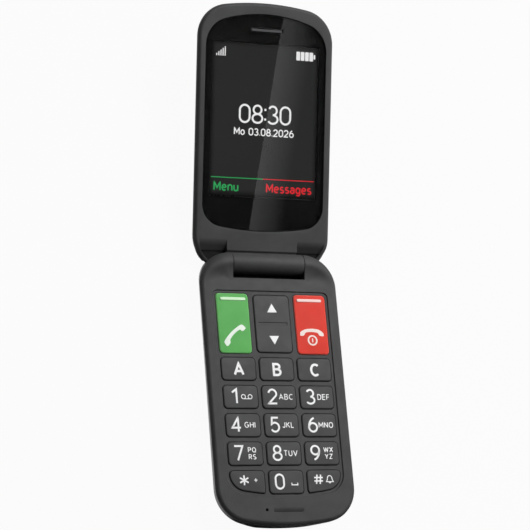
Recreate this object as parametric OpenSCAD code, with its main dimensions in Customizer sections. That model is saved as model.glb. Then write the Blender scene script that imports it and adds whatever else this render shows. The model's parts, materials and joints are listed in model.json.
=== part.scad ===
// Flip phone lying open on its back. The base half holds the keypad, board and battery,
// the lid half holds the display, and the two turn on a barrel hinge.
// The origin is the middle of the base's flat back, with +Y towards the lid and +Z up.

/* [Overall] */
// Width of both halves
body_w = 56.4; // [55:0.2:62]
// Lower edge of the keys to the free end of the base, or more where the display needs it
chin_h = 11.48; // [10.5:0.02:16]
// How far the lid's free end stays short of the base's
lid_short = 1.5; // [0:0.1:2]
// Angle between the two faces when the phone is open
open_angle = 165; // [155:1:172]
// Side walls of the four housings
wall = 1.6; // [1.2:0.1:2]

/* [Outline] */
// Radius of the arc across each free end
end_arc_r = 86; // [60:1:150]
// Corner radius at each free end
end_corner_r = 12; // [9:0.5:14]
// Corner radius at the hinge end
shoulder_r = 13; // [11:0.5:14]
// Rounding of the base's front edge
base_edge_r = 2.2; // [1:0.1:2.6]
// Rounding of the lid's front edge
lid_edge_r = 1.4; // [0.8:0.1:1.8]
// How far the rounded backs draw in from the sides
back_draw = 4.6; // [3.5:0.1:5.5]

/* [Hinge] */
// Radius of the barrel and of the two knuckles
barrel_r = 5; // [4.8:0.1:5.4]
// Length of the lid's barrel between the knuckles
barrel_w = 29.4; // [28:0.2:32]
// Depth of the hinge axis below the base's front face
hinge_drop = 2.35; // [2:0.05:2.6]
// Gap between the two front faces when closed
close_gap = 0.75; // [0.6:0.05:1.2]
// Gap between the ends of the barrel and the knuckles
knuckle_gap = 0.15; // [0.1:0.05:0.3]
// Radial gap around the barrel
pocket_gap = 0.4; // [0.3:0.05:0.6]
// Radius of the rolled lid edge above each knuckle
roll_r = 4.6; // [4:0.1:5]
// Radius of the cam cartridge in the barrel
cartridge_r = 3.2; // [3:0.1:3.4]
// Length of the cam cartridge
cartridge_len = 12.4; // [11:0.2:12.6]
// Radius of the cam shaft
shaft_r = 1.5; // [1.3:0.05:1.6]
// Outer radius of the hollow pivot
pivot_r = 2.5; // [2.3:0.05:2.8]
// Length of the hollow pivot
pivot_len = 9.8; // [8.6:0.1:10.4]
// Turns of the cam spring
spring_turns = 6; // [4:1:8]

/* [Keypad] */
// Hinge axis to the upper edge of the keypad recess
keypad_top = 11.9; // [11.5:0.1:14]
// Depth of the keypad recess
recess_depth = 0.5; // [0.3:0.05:0.7]
// Margin between the keys and the recess edge
key_margin = 1.1; // [0.8:0.1:1.6]
// Distance between key columns
column_pitch = 15.6; // [15.4:0.1:16]
// Distance between key rows
row_pitch = 10.72; // [10.6:0.02:10.9]
// Width of a lettered or numbered key
key_w = 14.06; // [12:0.1:14.2]
// Height of a lettered or numbered key
key_h = 8.89; // [7.5:0.05:9]
// Width of the call and end keys
call_w = 13.3; // [11:0.1:13.6]
// Height of the call and end keys
call_h = 23.3; // [22.8:0.1:24]
// Middle of the keypad to the middle of the call and end keys
call_x = 16.02; // [15.8:0.02:16.3]
// Width of the navigation rocker
rocker_w = 14.8; // [12:0.1:15.6]
// Height of the navigation rocker
rocker_h = 22.4; // [18:0.1:22.8]
// Gap between the call keys and the first row of small keys
row_gap = 1.45; // [1.3:0.05:2]
// Corner radius of the keys
key_corner_r = 1.6; // [0.8:0.1:2.4]
// Radius of the arc along the bottom of the keypad
keypad_arc_r = 100; // [70:1:150]
// Lower corner radius of the keypad
keypad_corner_r = 6.5; // [4:0.5:8]
// Side gap around each key
key_gap = 0.25; // [0.2:0.05:0.3]
// Flange that keeps each key under the front plate
flange_w = 0.5; // [0.45:0.05:0.55]
// Travel of a pressed key
key_travel = 0.4; // [0.3:0.05:0.5]

/* [Base stack] */
// Thickness of the battery cover
cover_t = 1.2; // [1:0.1:1.6]
// Width of the battery
battery_w = 34; // [30:0.5:38]
// Length of the battery
battery_l = 54; // [50:0.5:59]
// Thickness of the battery
battery_t = 5; // [4.8:0.1:6]
// Clearance around the battery
bay_clear = 0.4; // [0.3:0.05:0.6]
// Floor between the battery and the board
floor_t = 1; // [0.8:0.1:1.4]
// Thickness of the main board
board_t = 0.8; // [0.6:0.1:1.2]
// Height of a dome switch
dome_h = 0.3; // [0.2:0.05:0.4]
// Thickness of the rubber keypad mat
mat_t = 0.75; // [0.6:0.05:1]
// Thickness of the key flanges
flange_t = 0.7; // [0.6:0.05:0.9]
// Thickness of the base's front plate
plate_t = 1.7; // [1.5:0.1:2.2]

/* [Lid stack] */
// Width of the display lens
lens_w = 50.2; // [49:0.2:51]
// Hinge axis to the lower edge of the lens
lens_low = 12.05; // [11.5:0.05:13]
// Upper edge of the lens to the lid's free end
lens_top_gap = 4.5; // [4:0.1:5.5]
// Radius of the arc along the top of the lens
lens_top_r = 62; // [50:1:120]
// Radius of the arc along the bottom of the lens
lens_low_r = 110; // [70:1:150]
// Upper corner radius of the lens
lens_top_corner = 9; // [6:0.5:10]
// Lower corner radius of the lens
lens_low_corner = 6.5; // [4:0.5:9]
// Thickness of the lens
lens_t = 1; // [0.8:0.05:1.3]
// Thickness of the adhesive under the lens
tape_t = 0.15; // [0.1:0.05:0.25]
// Ledge that the lens sits on
ledge_t = 0.8; // [0.7:0.05:1.2]
// Width of the picture area
picture_w = 43.2; // [40:0.2:43.6]
// Height of the picture area
picture_h = 57.6; // [54:0.2:58.4]
// Thickness of the display module
display_t = 2.2; // [1.8:0.1:2.8]
// Thickness of the display tray
tray_t = 0.4; // [0.3:0.05:0.6]
// Thickness of the lid board
lid_board_t = 0.6; // [0.5:0.05:0.9]
// Thickness of the lid's back
lid_back_t = 1.3; // [1:0.1:1.6]

/* [Small parts] */
// Radius of the housing screws' bosses
boss_r = 1.5; // [1.3:0.1:1.6]
// Radius of the housing screws
screw_r = 0.58; // [0.5:0.02:0.7]
// Radius of the microphone hole
mic_hole_r = 0.5; // [0.4:0.05:0.8]
// Radius of the vibration motor
motor_r = 4; // [3:0.1:4.2]
// Height of the vibration motor
motor_h = 2.7; // [2:0.1:3]
// Width of the charging port's shell
port_w = 8.94; // [8.5:0.02:9.2]
// Height of the charging port's shell
port_h = 3.16; // [2.8:0.02:3.3]
// Length of the charging port's shell
port_len = 7.2; // [6:0.1:7.4]
// Length of the earpiece slot
slot_len = 12.9; // [10:0.1:14]
// Height of the earpiece slot
slot_h = 1.15; // [0.9:0.05:1.4]

/* [Hidden] */
$fn = 48;
KEY_ROWS = [
    ["key_a", "key_b", "key_c"],
    ["key_1", "key_2", "key_3"],
    ["key_4", "key_5", "key_6"],
    ["key_7", "key_8", "key_9"],
    ["key_star", "key_0", "key_hash"]
];

// Larger than any piece, for cuts that run right out of the phone.
beyond = 160;
// Cuts start this far outside the face that they open.
bite = 0.2;
// Gaps of a part that sits in a pocket, of a pressed part and of a turning part.
seat_gap = 0.1;
press_gap = 0.02;
turn_gap = 0.05;
// Spare height under a pressed key, and over its flange.
travel_spare = 0.05;
flange_gap = 0.1;
// Middle stretch that holds the rocker, and its room to tilt.
rocker_tab = 5;
rocker_room = 0.15;

// Keypad rows, from the hinge axis down, and the outline that ends the last row.
call_y = -(keypad_top + key_margin + call_h / 2);
row_y0 = call_y - call_h / 2 - row_gap - key_h / 2;
last_row = len(KEY_ROWS) - 1;
field_half_w = max(column_pitch + key_w / 2, call_x + call_w / 2);
field_low = row_y0 - last_row * row_pitch - key_h / 2 - bite;

// Room for the display module between the lower lid screws and the earpiece. The two halves are as long
// as the keypad or the display needs, whichever is more.
boss_in = 4.2;
slot_in = 6;
earpiece_size = [13, 4.8, 2.4];
display_gap = 0.6;
display_above = 1.3;
display_below = 5.8;
display_l = display_below + picture_h + display_above;
display_low = lens_low + boss_in + boss_r + display_gap;
display_in = slot_in + earpiece_size[1] / 2 + display_gap;
keypad_reach = chin_h - field_low;
display_reach = display_low + display_l + display_in + lens_top_gap + lid_short;
base_reach = max(keypad_reach, display_reach);
lid_reach = base_reach - lid_short;
lens_tip = lid_reach - lens_top_gap;

// Heights of the base's stack, measured from the hinge axis.
base_thick = cover_t + battery_t + bay_clear + floor_t + board_t + dome_h + mat_t
    + key_travel + travel_spare + flange_t + flange_gap + plate_t;
front_z = hinge_drop;
back_z = front_z - base_thick;
cover_top = back_z + cover_t;
bay_top = cover_top + battery_t + bay_clear;
board_z = bay_top + floor_t;
board_top = board_z + board_t;
mat_z = board_top + dome_h;
mat_top = mat_z + mat_t;
flange_z = mat_top + key_travel + travel_spare;
plate_z = front_z - plate_t;
recess_z = front_z - recess_depth;
hinge_y = (base_reach - barrel_r) / 2;
hinge_z = -back_z;

// Heights of the lid's stack, in the lid's own frame with the hinge axis at its origin.
lens_inset = 0.1;
tray_gap = 0.45;
lid_front = -(hinge_drop + close_gap);
lens_top = lid_front - lens_inset;
lens_z = lens_top - lens_t;
seat_z = lens_z - tape_t;
display_top = seat_z - ledge_t;
display_z = display_top - display_t;
tray_z = display_z - tray_t;
lid_board_z = tray_z - lid_board_t;
lid_inner = lid_board_z - tray_gap;
lid_back = lid_inner - lid_back_t;

// Outlines seen from the front: half width, then each end's place, arc and corner radius.
flat_r = 4000;
hinge_over = 3;
recess_corner = 2;
base_plan = [body_w / 2, hinge_over, flat_r, shoulder_r, -base_reach, end_arc_r, end_corner_r];
lid_plan = [body_w / 2, lid_reach, end_arc_r, end_corner_r, -hinge_over, flat_r, shoulder_r];
lens_plan = [lens_w / 2, lens_tip, lens_top_r, lens_top_corner, lens_low, lens_low_r, lens_low_corner];
recess_plan = [
    field_half_w + key_margin, -keypad_top, flat_r, recess_corner,
    field_low - key_margin, keypad_arc_r + key_margin, keypad_corner_r + key_margin
];

// The solid hinge end of each half, and the open notch in front of the barrel.
inner_top = 8.6;
lid_inner_low = 11;
notch_front = 6.9;
notch_floor = 1.2;
knuckle_start = barrel_w / 2 + knuckle_gap;
knuckle_straight = 2.15;
knuckle_round_x = knuckle_start + knuckle_straight;
knuckle_round_r = 8;
roll_start = 8.8;
roll_rim = 1.8;
roll_end = body_w / 2 - roll_rim;
stop_tilt = (180 - open_angle) / 2;
stop_gap = 0.15;

// Battery bay and its cover.
bay_y = -55.5;
bay_corner = 1;
cover_margin_x = 3.4;
cover_margin_y = 4;
cover_corner = 4;
cover_size = [battery_w + 2 * cover_margin_x, battery_l + 2 * cover_margin_y];
cover_room = [for (s = cover_size) s + 2 * seat_gap];
grip_r = 0.6;
grip_len = 9;
grip_inset = 3;

// Small parts in the base, with those at its free end placed in from that end.
screw_skin = 0.4;
screw_top = plate_z - screw_skin;
screw_well = 3.4;
screw_seat = back_z + screw_well;
screw_head_r = 1.45;
screw_head_h = 0.9;
driver_slot = [2.3, 0.4];
hinge_screw = [15, inner_top + 2];
end_screw_in = [9.2, 8];
end_screw = [body_w / 2 - end_screw_in[0], base_reach - end_screw_in[1]];
screw_places = [for (p = [hinge_screw, end_screw]) for (side = [-1, 1]) [side * p[0], -p[1]]];
mic_in = 6;
mic_at = [-8.8, mic_in - base_reach];
mic_size = [3.8, 3, 1];
chin_slot = [12.3, 1.5, 0.4];
chin_slot_in = 5.9;
chin_slot_y = chin_slot_in - base_reach;
speaker_size = [15, 9, 3];
speaker_rim = 1;
speaker_at = [0, -16.6];
speaker_skin = 1.35;
speaker_floor = back_z + speaker_skin;
grille_slots = 5;
grille_slot = [9, 0.8];
grille_pitch = 1.6;
motor_at = [-15, -17.6];
sim_size = [12.3, 8.8, 0.67];
sim_wall = 0.5;
sim_shell = [for (s = sim_size) s + 2 * (sim_wall + seat_gap)];
sim_at = [15.6, -18.5];
contact_size = [8, 2.5, 4];
contact_w = 1;
contact_pitch = 2.2;
contact_window = [2 * contact_pitch + contact_w + 2 * bite, 2 * contact_size[1]];
contact_y = bay_y + battery_l / 2 + bay_clear + contact_size[1] / 2;
antenna_size = [28, 5, 2];
antenna_in = 8.4;
antenna_y = antenna_in - base_reach;
hall_size = [2.9, 1.6, 1];
hall_in = 7.2;
hall_at = [11, min(base_reach, lid_reach) - hall_in];
magnet_size = [6, 3, 1.5];
dome_r = 2.5;
port_y = -46;
port_wall = 0.3;
port_back = 1;
port_inset = 0.4;
port_tongue = [4.6, 6.7, 0.7];
port_z = board_top - port_h / 2 - seat_gap - turn_gap;
port_mouth = body_w / 2 - port_inset;

// Small parts in the lid.
display_mid = (display_low + lens_tip - display_in) / 2;
picture_y = display_mid + (display_below - display_above) / 2;
window_margin = 1;
glass_margin = 0.4;
glass_rise = ledge_t - turn_gap;
module_gap = 2;
module_w = body_w - 2 * (wall + module_gap);
tray_rim = 0.3;
slot_y = lens_tip - slot_in;
slot_rim = 0.5;
mesh_inset = 0.3;
lid_board_size = [44, 50];
lid_screw_side = 9.2;
lid_screw_x = body_w / 2 - lid_screw_side;
top_boss_in = 6.6;
lid_screw_ys = [lens_low + boss_in, lens_tip - top_boss_in];
lid_head_r = 1.2;
lid_head_h = 0.45;

// Hinge shaft, cartridge and spring.
cartridge_x = barrel_w / 2 - cartridge_len;
cartridge_wall = 0.8;
cartridge_end = 1;
collar_len = 2;
shaft_head_r = 2.6;
shaft_head_len = 6.5;
shaft_head_end = knuckle_start + shaft_head_len;
spring_wire_r = 0.25;
spring_spare = 0.3;
spring_r = (shaft_r + cartridge_r - cartridge_wall) / 2;

// Flexible circuit through the hollow pivot.
pivot_bore = 1.6;
flex_r = 1.2;
flex_t = 0.3;
flex_room = 0.3;
lid_flex_w = 5.4;
lid_flex_x = -5;
lid_flex_y = 0.8;
barrel_bore_end = -1;
base_flex_in = 4.6;
base_flex_x = knuckle_start + base_flex_in;
base_flex_w = 1.4;
base_flex_over = 3;
base_flex_end = inner_top + base_flex_over;

// Points along an arc, with or without its last one.
function arc_points(cx, cy, r, from, to, steps, last) =
    [for (i = [0 : steps - (last ? 0 : 1)])
        let (a = from + (to - from) * i / steps)
        [cx + r * cos(a), cy + r * sin(a)]];

// Outline with an arc across each end and a round corner at each side, drawn in by inset.
function outline(plan, inset, steps = 8) =
    let (
        top_x = plan[0] - plan[3],
        low_x = plan[0] - plan[6],
        top_rise = sqrt(pow(plan[2] - plan[3], 2) - top_x * top_x),
        low_rise = sqrt(pow(plan[5] - plan[6], 2) - low_x * low_x),
        top_c = plan[1] - plan[2],
        low_c = plan[4] + plan[5],
        top_a = atan2(top_rise, top_x),
        low_a = atan2(low_rise, low_x)
    )
    concat(
        arc_points(low_x, low_c - low_rise, plan[6] - inset, -low_a, 0, steps, true),
        arc_points(top_x, top_c + top_rise, plan[3] - inset, 0, top_a, steps, false),
        arc_points(0, top_c, plan[2] - inset, top_a, 180 - top_a, steps, false),
        arc_points(-top_x, top_c + top_rise, plan[3] - inset, 180 - top_a, 180, steps, true),
        arc_points(-low_x, low_c - low_rise, plan[6] - inset, 180, 180 + low_a, steps, false),
        arc_points(0, low_c, plan[5] - inset, 180 + low_a, 360 - low_a, steps, false)
    );

// Rectangle with round corners, centred on the origin.
function round_box(w, h, r, steps = 6) =
    [for (q = [0 : 3])
        let (sx = (q == 0 || q == 3) ? 1 : -1, sy = q < 2 ? 1 : -1)
        each arc_points(sx * (w / 2 - r), sy * (h / 2 - r), r, 90 * q, 90 * q + 90, steps, true)];

// Levels of a rounded front edge, from the parting line up, as [height, inset].
function front_levels(low, high, r, steps = 5) =
    concat([[low, 0]], [for (i = [0 : steps])
        let (a = 90 * i / steps)
        [high - r + r * sin(a), r * (1 - cos(a))]]);

// Levels of a rounded back, from its flat face up to the parting line.
function back_levels(low, high, draw, steps = 7) =
    [for (i = [0 : steps])
        let (a = 90 * (1 - i / steps))
        [high - (high - low) * sin(a), draw * (1 - cos(a))]];

// Closed surface over rings of points, each ring of the same length.
module rings_solid(rings) {
    n = len(rings[0]);
    m = len(rings);
    sides = [for (k = [0 : m - 2]) for (i = [0 : n - 1])
        let (j = (i + 1) % n, a = k * n, b = a + n)
        each [[a + i, b + i, b + j], [a + i, b + j, a + j]]];
    caps = [[for (i = [0 : n - 1]) i], [for (i = [n - 1 : -1 : 0]) (m - 1) * n + i]];
    polyhedron(points = [for (r = rings) each r], faces = concat(sides, caps));
}

// Solid skin through an outline at each level.
module skin(plan, levels) {
    rings_solid([for (l = levels) [for (p = outline(plan, l[1])) [p[0], p[1], l[0]]]]);
}

module prism(points, low, high) {
    translate([0, 0, low])
        linear_extrude(high - low)
            polygon(points);
}

// Box with its middle at a place on the plan and its underside at a height.
module block(size, at, low) {
    translate([at[0] - size[0] / 2, at[1] - size[1] / 2, low])
        cube(size);
}

// Box in the same way, with room around it and no roof.
module pocket(size, at, low, room) {
    block([size[0] + 2 * room, size[1] + 2 * room, beyond], at, low - room);
}

// Upright cylinder between two heights.
module post(r, at, low, high) {
    translate([at[0], at[1], low])
        cylinder(r = r, h = high - low);
}

// Cylinder along the hinge axis between two places.
module along_hinge(r, from, to) {
    translate([from, 0, 0])
        rotate([0, 90, 0])
            cylinder(r = r, h = to - from);
}

module on_base() {
    translate([0, hinge_y, hinge_z])
        children();
}

module on_lid() {
    translate([0, hinge_y, hinge_z])
        rotate([180 - open_angle, 0, 0])
            children();
}

module both_sides() {
    children();
    mirror([1, 0, 0])
        children();
}

// All that lies past the faces on which the two halves stop when open.
module past_base_stop() {
    rotate([stop_tilt, 0, 0])
        translate([-beyond / 2, -stop_gap, -beyond / 2])
            cube(beyond);
}

module past_lid_stop() {
    rotate([-stop_tilt, 0, 0])
        translate([-beyond / 2, stop_gap - beyond, -beyond / 2])
            cube(beyond);
}

// Inside of the base and of the lid, in from their walls and short of the hinge.
module base_inside(low, high, inset) {
    intersection() {
        prism(outline(base_plan, inset), low, high);
        translate([-beyond / 2, wall - inset - inner_top - beyond, low])
            cube([beyond, beyond, high - low]);
    }
}

module lid_inside(low, high) {
    intersection() {
        prism(outline(lid_plan, wall), low, high);
        translate([-beyond / 2, lid_inner_low, low])
            cube([beyond, beyond, high - low]);
    }
}

// Flat shapes of the keys, spread outwards by grow.
module key_shape(x, y, w, h, grow) {
    translate([x, y])
        polygon(round_box(w + 2 * grow, h + 2 * grow, key_corner_r + grow));
}

module small_key_shape(row, column, grow) {
    intersection() {
        key_shape((column - 1) * column_pitch, row_y0 - row * row_pitch, key_w, key_h, grow);
        if (row == last_row)
            polygon(outline(recess_plan, key_margin - grow));
        else
            square(2 * beyond, center = true);
    }
}

module call_key_shape(side, grow) {
    key_shape(side * call_x, call_y, call_w, call_h, grow);
}

module rocker_shape(grow) {
    key_shape(0, call_y, rocker_w, rocker_h, grow);
}

module all_key_shapes(grow) {
    for (row = [0 : last_row])
        for (column = [0 : 2])
            small_key_shape(row, column, grow);
    call_key_shape(-1, grow);
    call_key_shape(1, grow);
    rocker_shape(grow);
}

// Knuckle with a rounded outer end, turned about the hinge axis.
module knuckle(grow) {
    rotate([0, 90, 0])
        rotate_extrude() {
            translate([0, knuckle_start])
                square([barrel_r + grow, knuckle_round_x - knuckle_start]);
            intersection() {
                translate([barrel_r - knuckle_round_r, knuckle_round_x])
                    circle(r = knuckle_round_r + grow);
                translate([0, knuckle_round_x])
                    square([barrel_r + grow, knuckle_round_r + grow]);
            }
        }
}

// Space that the lid's barrel turns in.
module barrel_space() {
    along_hinge(barrel_r + pocket_gap, -knuckle_start, knuckle_start);
}

// Space above each knuckle, which leaves the lid a rolled front edge.
module roll_space() {
    both_sides()
        difference() {
            translate([barrel_w / 2, -beyond, lid_front - roll_r])
                cube([roll_end - barrel_w / 2, beyond + roll_start, roll_r + bite]);
            translate([0, roll_start, lid_front - roll_r])
                along_hinge(roll_r, barrel_w / 2 - bite, roll_end + bite);
        }
}

module base_screw_posts(r, low, high) {
    for (p = screw_places)
        post(r, p, low, high);
}

module lid_screw_posts(r, low, high) {
    for (x = [-lid_screw_x, lid_screw_x])
        for (y = lid_screw_ys)
            post(r, [x, y], low, high);
}

// Charging port's rounded section along X, spread outwards by grow.
module port_bar(grow, from, to) {
    translate([from, port_y, port_z])
        rotate([90, 0, 90])
            linear_extrude(to - from)
                polygon(round_box(port_w + 2 * grow, port_h + 2 * grow, port_h / 2 + grow - turn_gap));
}

module slot_prism(size, at, low, high) {
    translate([at[0], at[1], 0])
        prism(round_box(size[0], size[1], size[1] / 2 - turn_gap), low, high);
}

module base_front_housing() {
    color("dimgray")
    on_base() {
        difference() {
            union() {
                difference() {
                    skin(base_plan, front_levels(board_top, front_z, base_edge_r));
                    past_base_stop();
                }
                both_sides()
                    knuckle(0);
            }
            barrel_space();
            translate([-knuckle_start, -notch_front, board_top + notch_floor])
                cube([2 * knuckle_start, notch_front, beyond]);
            base_inside(board_top - bite, plate_z, wall);
            prism(outline(recess_plan, 0), recess_z, front_z + bite);
            translate([0, 0, plate_z - bite])
                linear_extrude(plate_t + 2 * bite)
                    all_key_shapes(key_gap);
            post(mic_hole_r, mic_at, plate_z - bite, front_z + bite);
            slot_prism(chin_slot, [0, chin_slot_y], front_z - chin_slot[2], front_z + bite);
            along_hinge(pivot_r + press_gap, -base_flex_x - base_flex_w - flex_room, bite - knuckle_start);
            along_hinge(shaft_head_r + press_gap, knuckle_start - bite, shaft_head_end + seat_gap);
            translate([-base_flex_x - base_flex_w - flex_room, -inner_top - bite, -flex_r])
                cube([base_flex_w + 2 * flex_room, inner_top + bite, flex_r]);
        }
        difference() {
            base_screw_posts(boss_r, board_top, plate_z + bite);
            base_screw_posts(screw_r + press_gap, board_top - bite, screw_top + seat_gap);
        }
    }
}

module base_rear_housing() {
    color([0.25, 0.25, 0.26])
    on_base()
        difference() {
            skin(base_plan, back_levels(back_z, board_top, back_draw));
            past_base_stop();
            barrel_space();
            both_sides()
                knuckle(turn_gap);
            base_inside(board_z, board_top + bite, wall);
            translate([0, bay_y, 0]) {
                prism(
                    round_box(battery_w + 2 * bay_clear, battery_l + 2 * bay_clear, bay_corner),
                    back_z - bite,
                    bay_top
                );
                prism(
                    round_box(cover_room[0], cover_room[1], cover_corner + seat_gap),
                    back_z - bite,
                    cover_top
                );
            }
            pocket(contact_size, [0, contact_y], board_z - contact_size[2], seat_gap);
            block(
                [contact_window[0], contact_window[1], contact_size[2] / 2],
                [0, contact_y - contact_size[1]],
                bay_top - contact_size[2] / 2
            );
            pocket(speaker_size, speaker_at, speaker_floor + seat_gap, seat_gap);
            for (i = [0 : grille_slots - 1])
                slot_prism(
                    grille_slot,
                    [speaker_at[0], speaker_at[1] + (i - (grille_slots - 1) / 2) * grille_pitch],
                    back_z - bite,
                    speaker_floor + bite
                );
            post(motor_r + seat_gap, motor_at, board_z - motor_h - seat_gap, board_z + bite);
            pocket(sim_shell, sim_at, board_z - sim_shell[2], seat_gap);
            pocket(antenna_size, [0, antenna_y], board_z - antenna_size[2], seat_gap);
            port_bar(seat_gap, port_mouth - port_len - seat_gap, body_w);
            base_screw_posts(screw_r + seat_gap, back_z, beyond);
            base_screw_posts(screw_head_r + seat_gap, back_z - bite, screw_seat);
        }
}

module battery_cover() {
    color([0.24, 0.24, 0.25])
    on_base()
        translate([0, bay_y, 0])
            difference() {
                prism(round_box(cover_size[0], cover_size[1], cover_corner), back_z, cover_top);
                translate([0, cover_size[1] / 2 - grip_inset, back_z])
                    rotate([0, 90, 0])
                        cylinder(r = grip_r, h = grip_len, center = true);
            }
}

module battery() {
    color("silver")
    on_base()
        translate([0, bay_y, 0])
            prism(round_box(battery_w, battery_l, bay_corner), cover_top, cover_top + battery_t);
}

module battery_contacts() {
    color("goldenrod")
    on_base() {
        block(contact_size, [0, contact_y], board_z - contact_size[2]);
        for (i = [-1 : 1])
            block(
                [contact_w, bay_clear, contact_size[2] / 4],
                [contact_pitch * i, contact_y - contact_size[1] / 2 - bay_clear / 2 + turn_gap],
                bay_top - contact_size[2] / 2
            );
    }
}

module main_board() {
    color("darkgreen")
    on_base()
        difference() {
            base_inside(board_z, board_top, wall + flex_room);
            base_screw_posts(screw_r + seat_gap, board_z - bite, board_top + bite);
            block(
                [body_w, port_w + 2 * flex_room, beyond],
                [port_mouth - port_len - flex_room + body_w / 2, port_y],
                board_z - bite
            );
        }
}

module dome_switches() {
    color("gold")
    on_base() {
        for (row = [0 : last_row])
            for (column = [-1 : 1])
                dome([column * column_pitch, row_y0 - row * row_pitch]);
        for (side = [-1, 1]) {
            dome([side * call_x, call_y]);
            dome([0, call_y + side * (rocker_h / 2 - 2 * dome_r)]);
        }
    }
}

module dome(at) {
    translate([at[0], at[1], board_top])
        cylinder(r1 = dome_r, r2 = dome_r / 2, h = dome_h);
}

module keypad_mat() {
    color("gainsboro")
    on_base()
        prism(outline(recess_plan, key_margin - flange_w), mat_z, mat_top);
}

module microphone() {
    color("silver")
    on_base()
        block(mic_size, mic_at, board_top);
}

module loudspeaker() {
    color("dimgray")
    on_base() {
        block([speaker_size[0], speaker_size[1], speaker_size[2] - speaker_rim], speaker_at, speaker_floor);
        post(speaker_size[1] / 2 - speaker_rim, speaker_at, speaker_floor, speaker_floor + speaker_size[2]);
    }
}

module vibration_motor() {
    color("silver")
    on_base()
        post(motor_r, motor_at, board_z - motor_h, board_z);
}

module usb_socket() {
    back = port_mouth - port_len + port_back;
    color("lightgray")
    on_base() {
        difference() {
            port_bar(0, port_mouth - port_len, port_mouth);
            port_bar(-port_wall, back, port_mouth + bite);
        }
        translate([back - bite, port_y - port_tongue[1] / 2, port_z - port_tongue[2] / 2])
            cube(port_tongue);
    }
}

module sim_reader() {
    color("lightgray")
    on_base()
        difference() {
            block(sim_shell, sim_at, board_z - sim_shell[2]);
            block(
                [sim_size[0] + 2 * seat_gap, sim_size[1] + 2 * seat_gap, sim_size[2] + 2 * seat_gap],
                sim_at,
                board_z - sim_shell[2] + sim_wall
            );
        }
}

module sim_card() {
    color("khaki")
    on_base()
        block(sim_size, sim_at, board_z - sim_shell[2] + sim_wall + seat_gap);
}

module antenna() {
    color("peru")
    on_base()
        block(antenna_size, [0, antenna_y], board_z - antenna_size[2]);
}

module hall_sensor() {
    color("black")
    on_base()
        block(hall_size, [hall_at[0], -hall_at[1]], board_top);
}

module base_screws() {
    color("gray")
    on_base() {
        base_screw_posts(screw_r, screw_seat - turn_gap, screw_top);
        difference() {
            base_screw_posts(screw_head_r, screw_seat - screw_head_h, screw_seat);
            for (p = screw_places)
                for (turn = [0, 90])
                    translate([p[0], p[1], screw_seat - screw_head_h])
                        rotate([0, 0, turn])
                            cube([driver_slot[0], driver_slot[1], screw_head_h], center = true);
        }
    }
}

module hinge_pivot() {
    color("silver")
    on_base()
        difference() {
            along_hinge(pivot_r, -base_flex_x, pivot_len - base_flex_x);
            along_hinge(pivot_bore, -base_flex_x - bite, pivot_len - base_flex_x + bite);
        }
}

module hinge_shaft() {
    color("silver")
    on_base() {
        along_hinge(shaft_r, cartridge_x + seat_gap, knuckle_start + bite);
        along_hinge(
            cartridge_r - cartridge_wall - 2 * turn_gap,
            barrel_w / 2 - cartridge_end - seat_gap - collar_len,
            barrel_w / 2 - cartridge_end - seat_gap
        );
        along_hinge(shaft_head_r, knuckle_start, shaft_head_end);
    }
}

module base_flex() {
    color("orange")
    on_base() {
        along_hinge(flex_r, -base_flex_x - base_flex_w, -knuckle_start);
        translate([-base_flex_x - base_flex_w, -base_flex_end, -flex_r + flex_room])
            cube([base_flex_w, base_flex_end, flex_t]);
        translate([-base_flex_x - base_flex_w, -base_flex_end, board_top])
            cube([base_flex_w, 2 * flex_t, flex_room + flex_t - flex_r - board_top]);
    }
}

module lid_front_housing() {
    color("dimgray")
    on_lid()
        difference() {
            union() {
                difference() {
                    skin(lid_plan, front_levels(display_top, lid_front, lid_edge_r));
                    past_lid_stop();
                    roll_space();
                }
                along_hinge(barrel_r, -barrel_w / 2, barrel_w / 2);
            }
            prism(outline(lens_plan, -seat_gap), seat_z, lid_front + bite);
            block(
                [picture_w + 2 * window_margin, picture_h + 2 * window_margin, beyond],
                [0, picture_y],
                display_top - bite
            );
            slot_prism([slot_len - 2 * slot_rim, slot_h], [0, slot_y], display_top - bite, seat_z + bite);
            lid_screw_posts(screw_r + seat_gap, display_top - bite, seat_z + bite);
            lid_screw_posts(lid_head_r + seat_gap, seat_z - lid_head_h - turn_gap, seat_z + bite);
            along_hinge(cartridge_r + press_gap, cartridge_x - press_gap, barrel_w / 2 + bite);
            along_hinge(pivot_r + turn_gap, -barrel_w / 2 - bite, barrel_bore_end);
            lid_flex_room();
        }
}

// Way for the flexible circuit out of the barrel and along the neck of the lid.
module lid_flex_room() {
    wide = lid_flex_w + 2 * flex_room;
    translate([lid_flex_x - wide / 2, lid_flex_y - flex_room, display_top - 2 * flex_room - flex_t])
        cube([wide, flex_t + 2 * flex_room, -display_top]);
    translate([lid_flex_x - wide / 2, lid_flex_y - flex_room, display_top - 2 * flex_room - flex_t])
        cube([wide, lid_inner_low, flex_t + 2 * flex_room]);
}

module lid_rear_housing() {
    color([0.25, 0.25, 0.26])
    on_lid() {
        difference() {
            skin(lid_plan, back_levels(lid_back, display_top, back_draw));
            past_lid_stop();
            roll_space();
            along_hinge(barrel_r + turn_gap, -barrel_w / 2 - bite, barrel_w / 2 + bite);
            lid_inside(lid_inner, display_top + bite);
            lid_flex_room();
        }
        difference() {
            lid_screw_posts(boss_r, lid_inner - bite, display_top);
            lid_screw_posts(screw_r + press_gap, lid_inner + bite, display_top + bite);
        }
    }
}

module display_lens() {
    color([0.05, 0.05, 0.06])
    on_lid()
        difference() {
            prism(outline(lens_plan, 0), lens_z, lens_top);
            slot_prism([slot_len, slot_h], [0, slot_y], lens_z - bite, lens_top + bite);
        }
}

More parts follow.
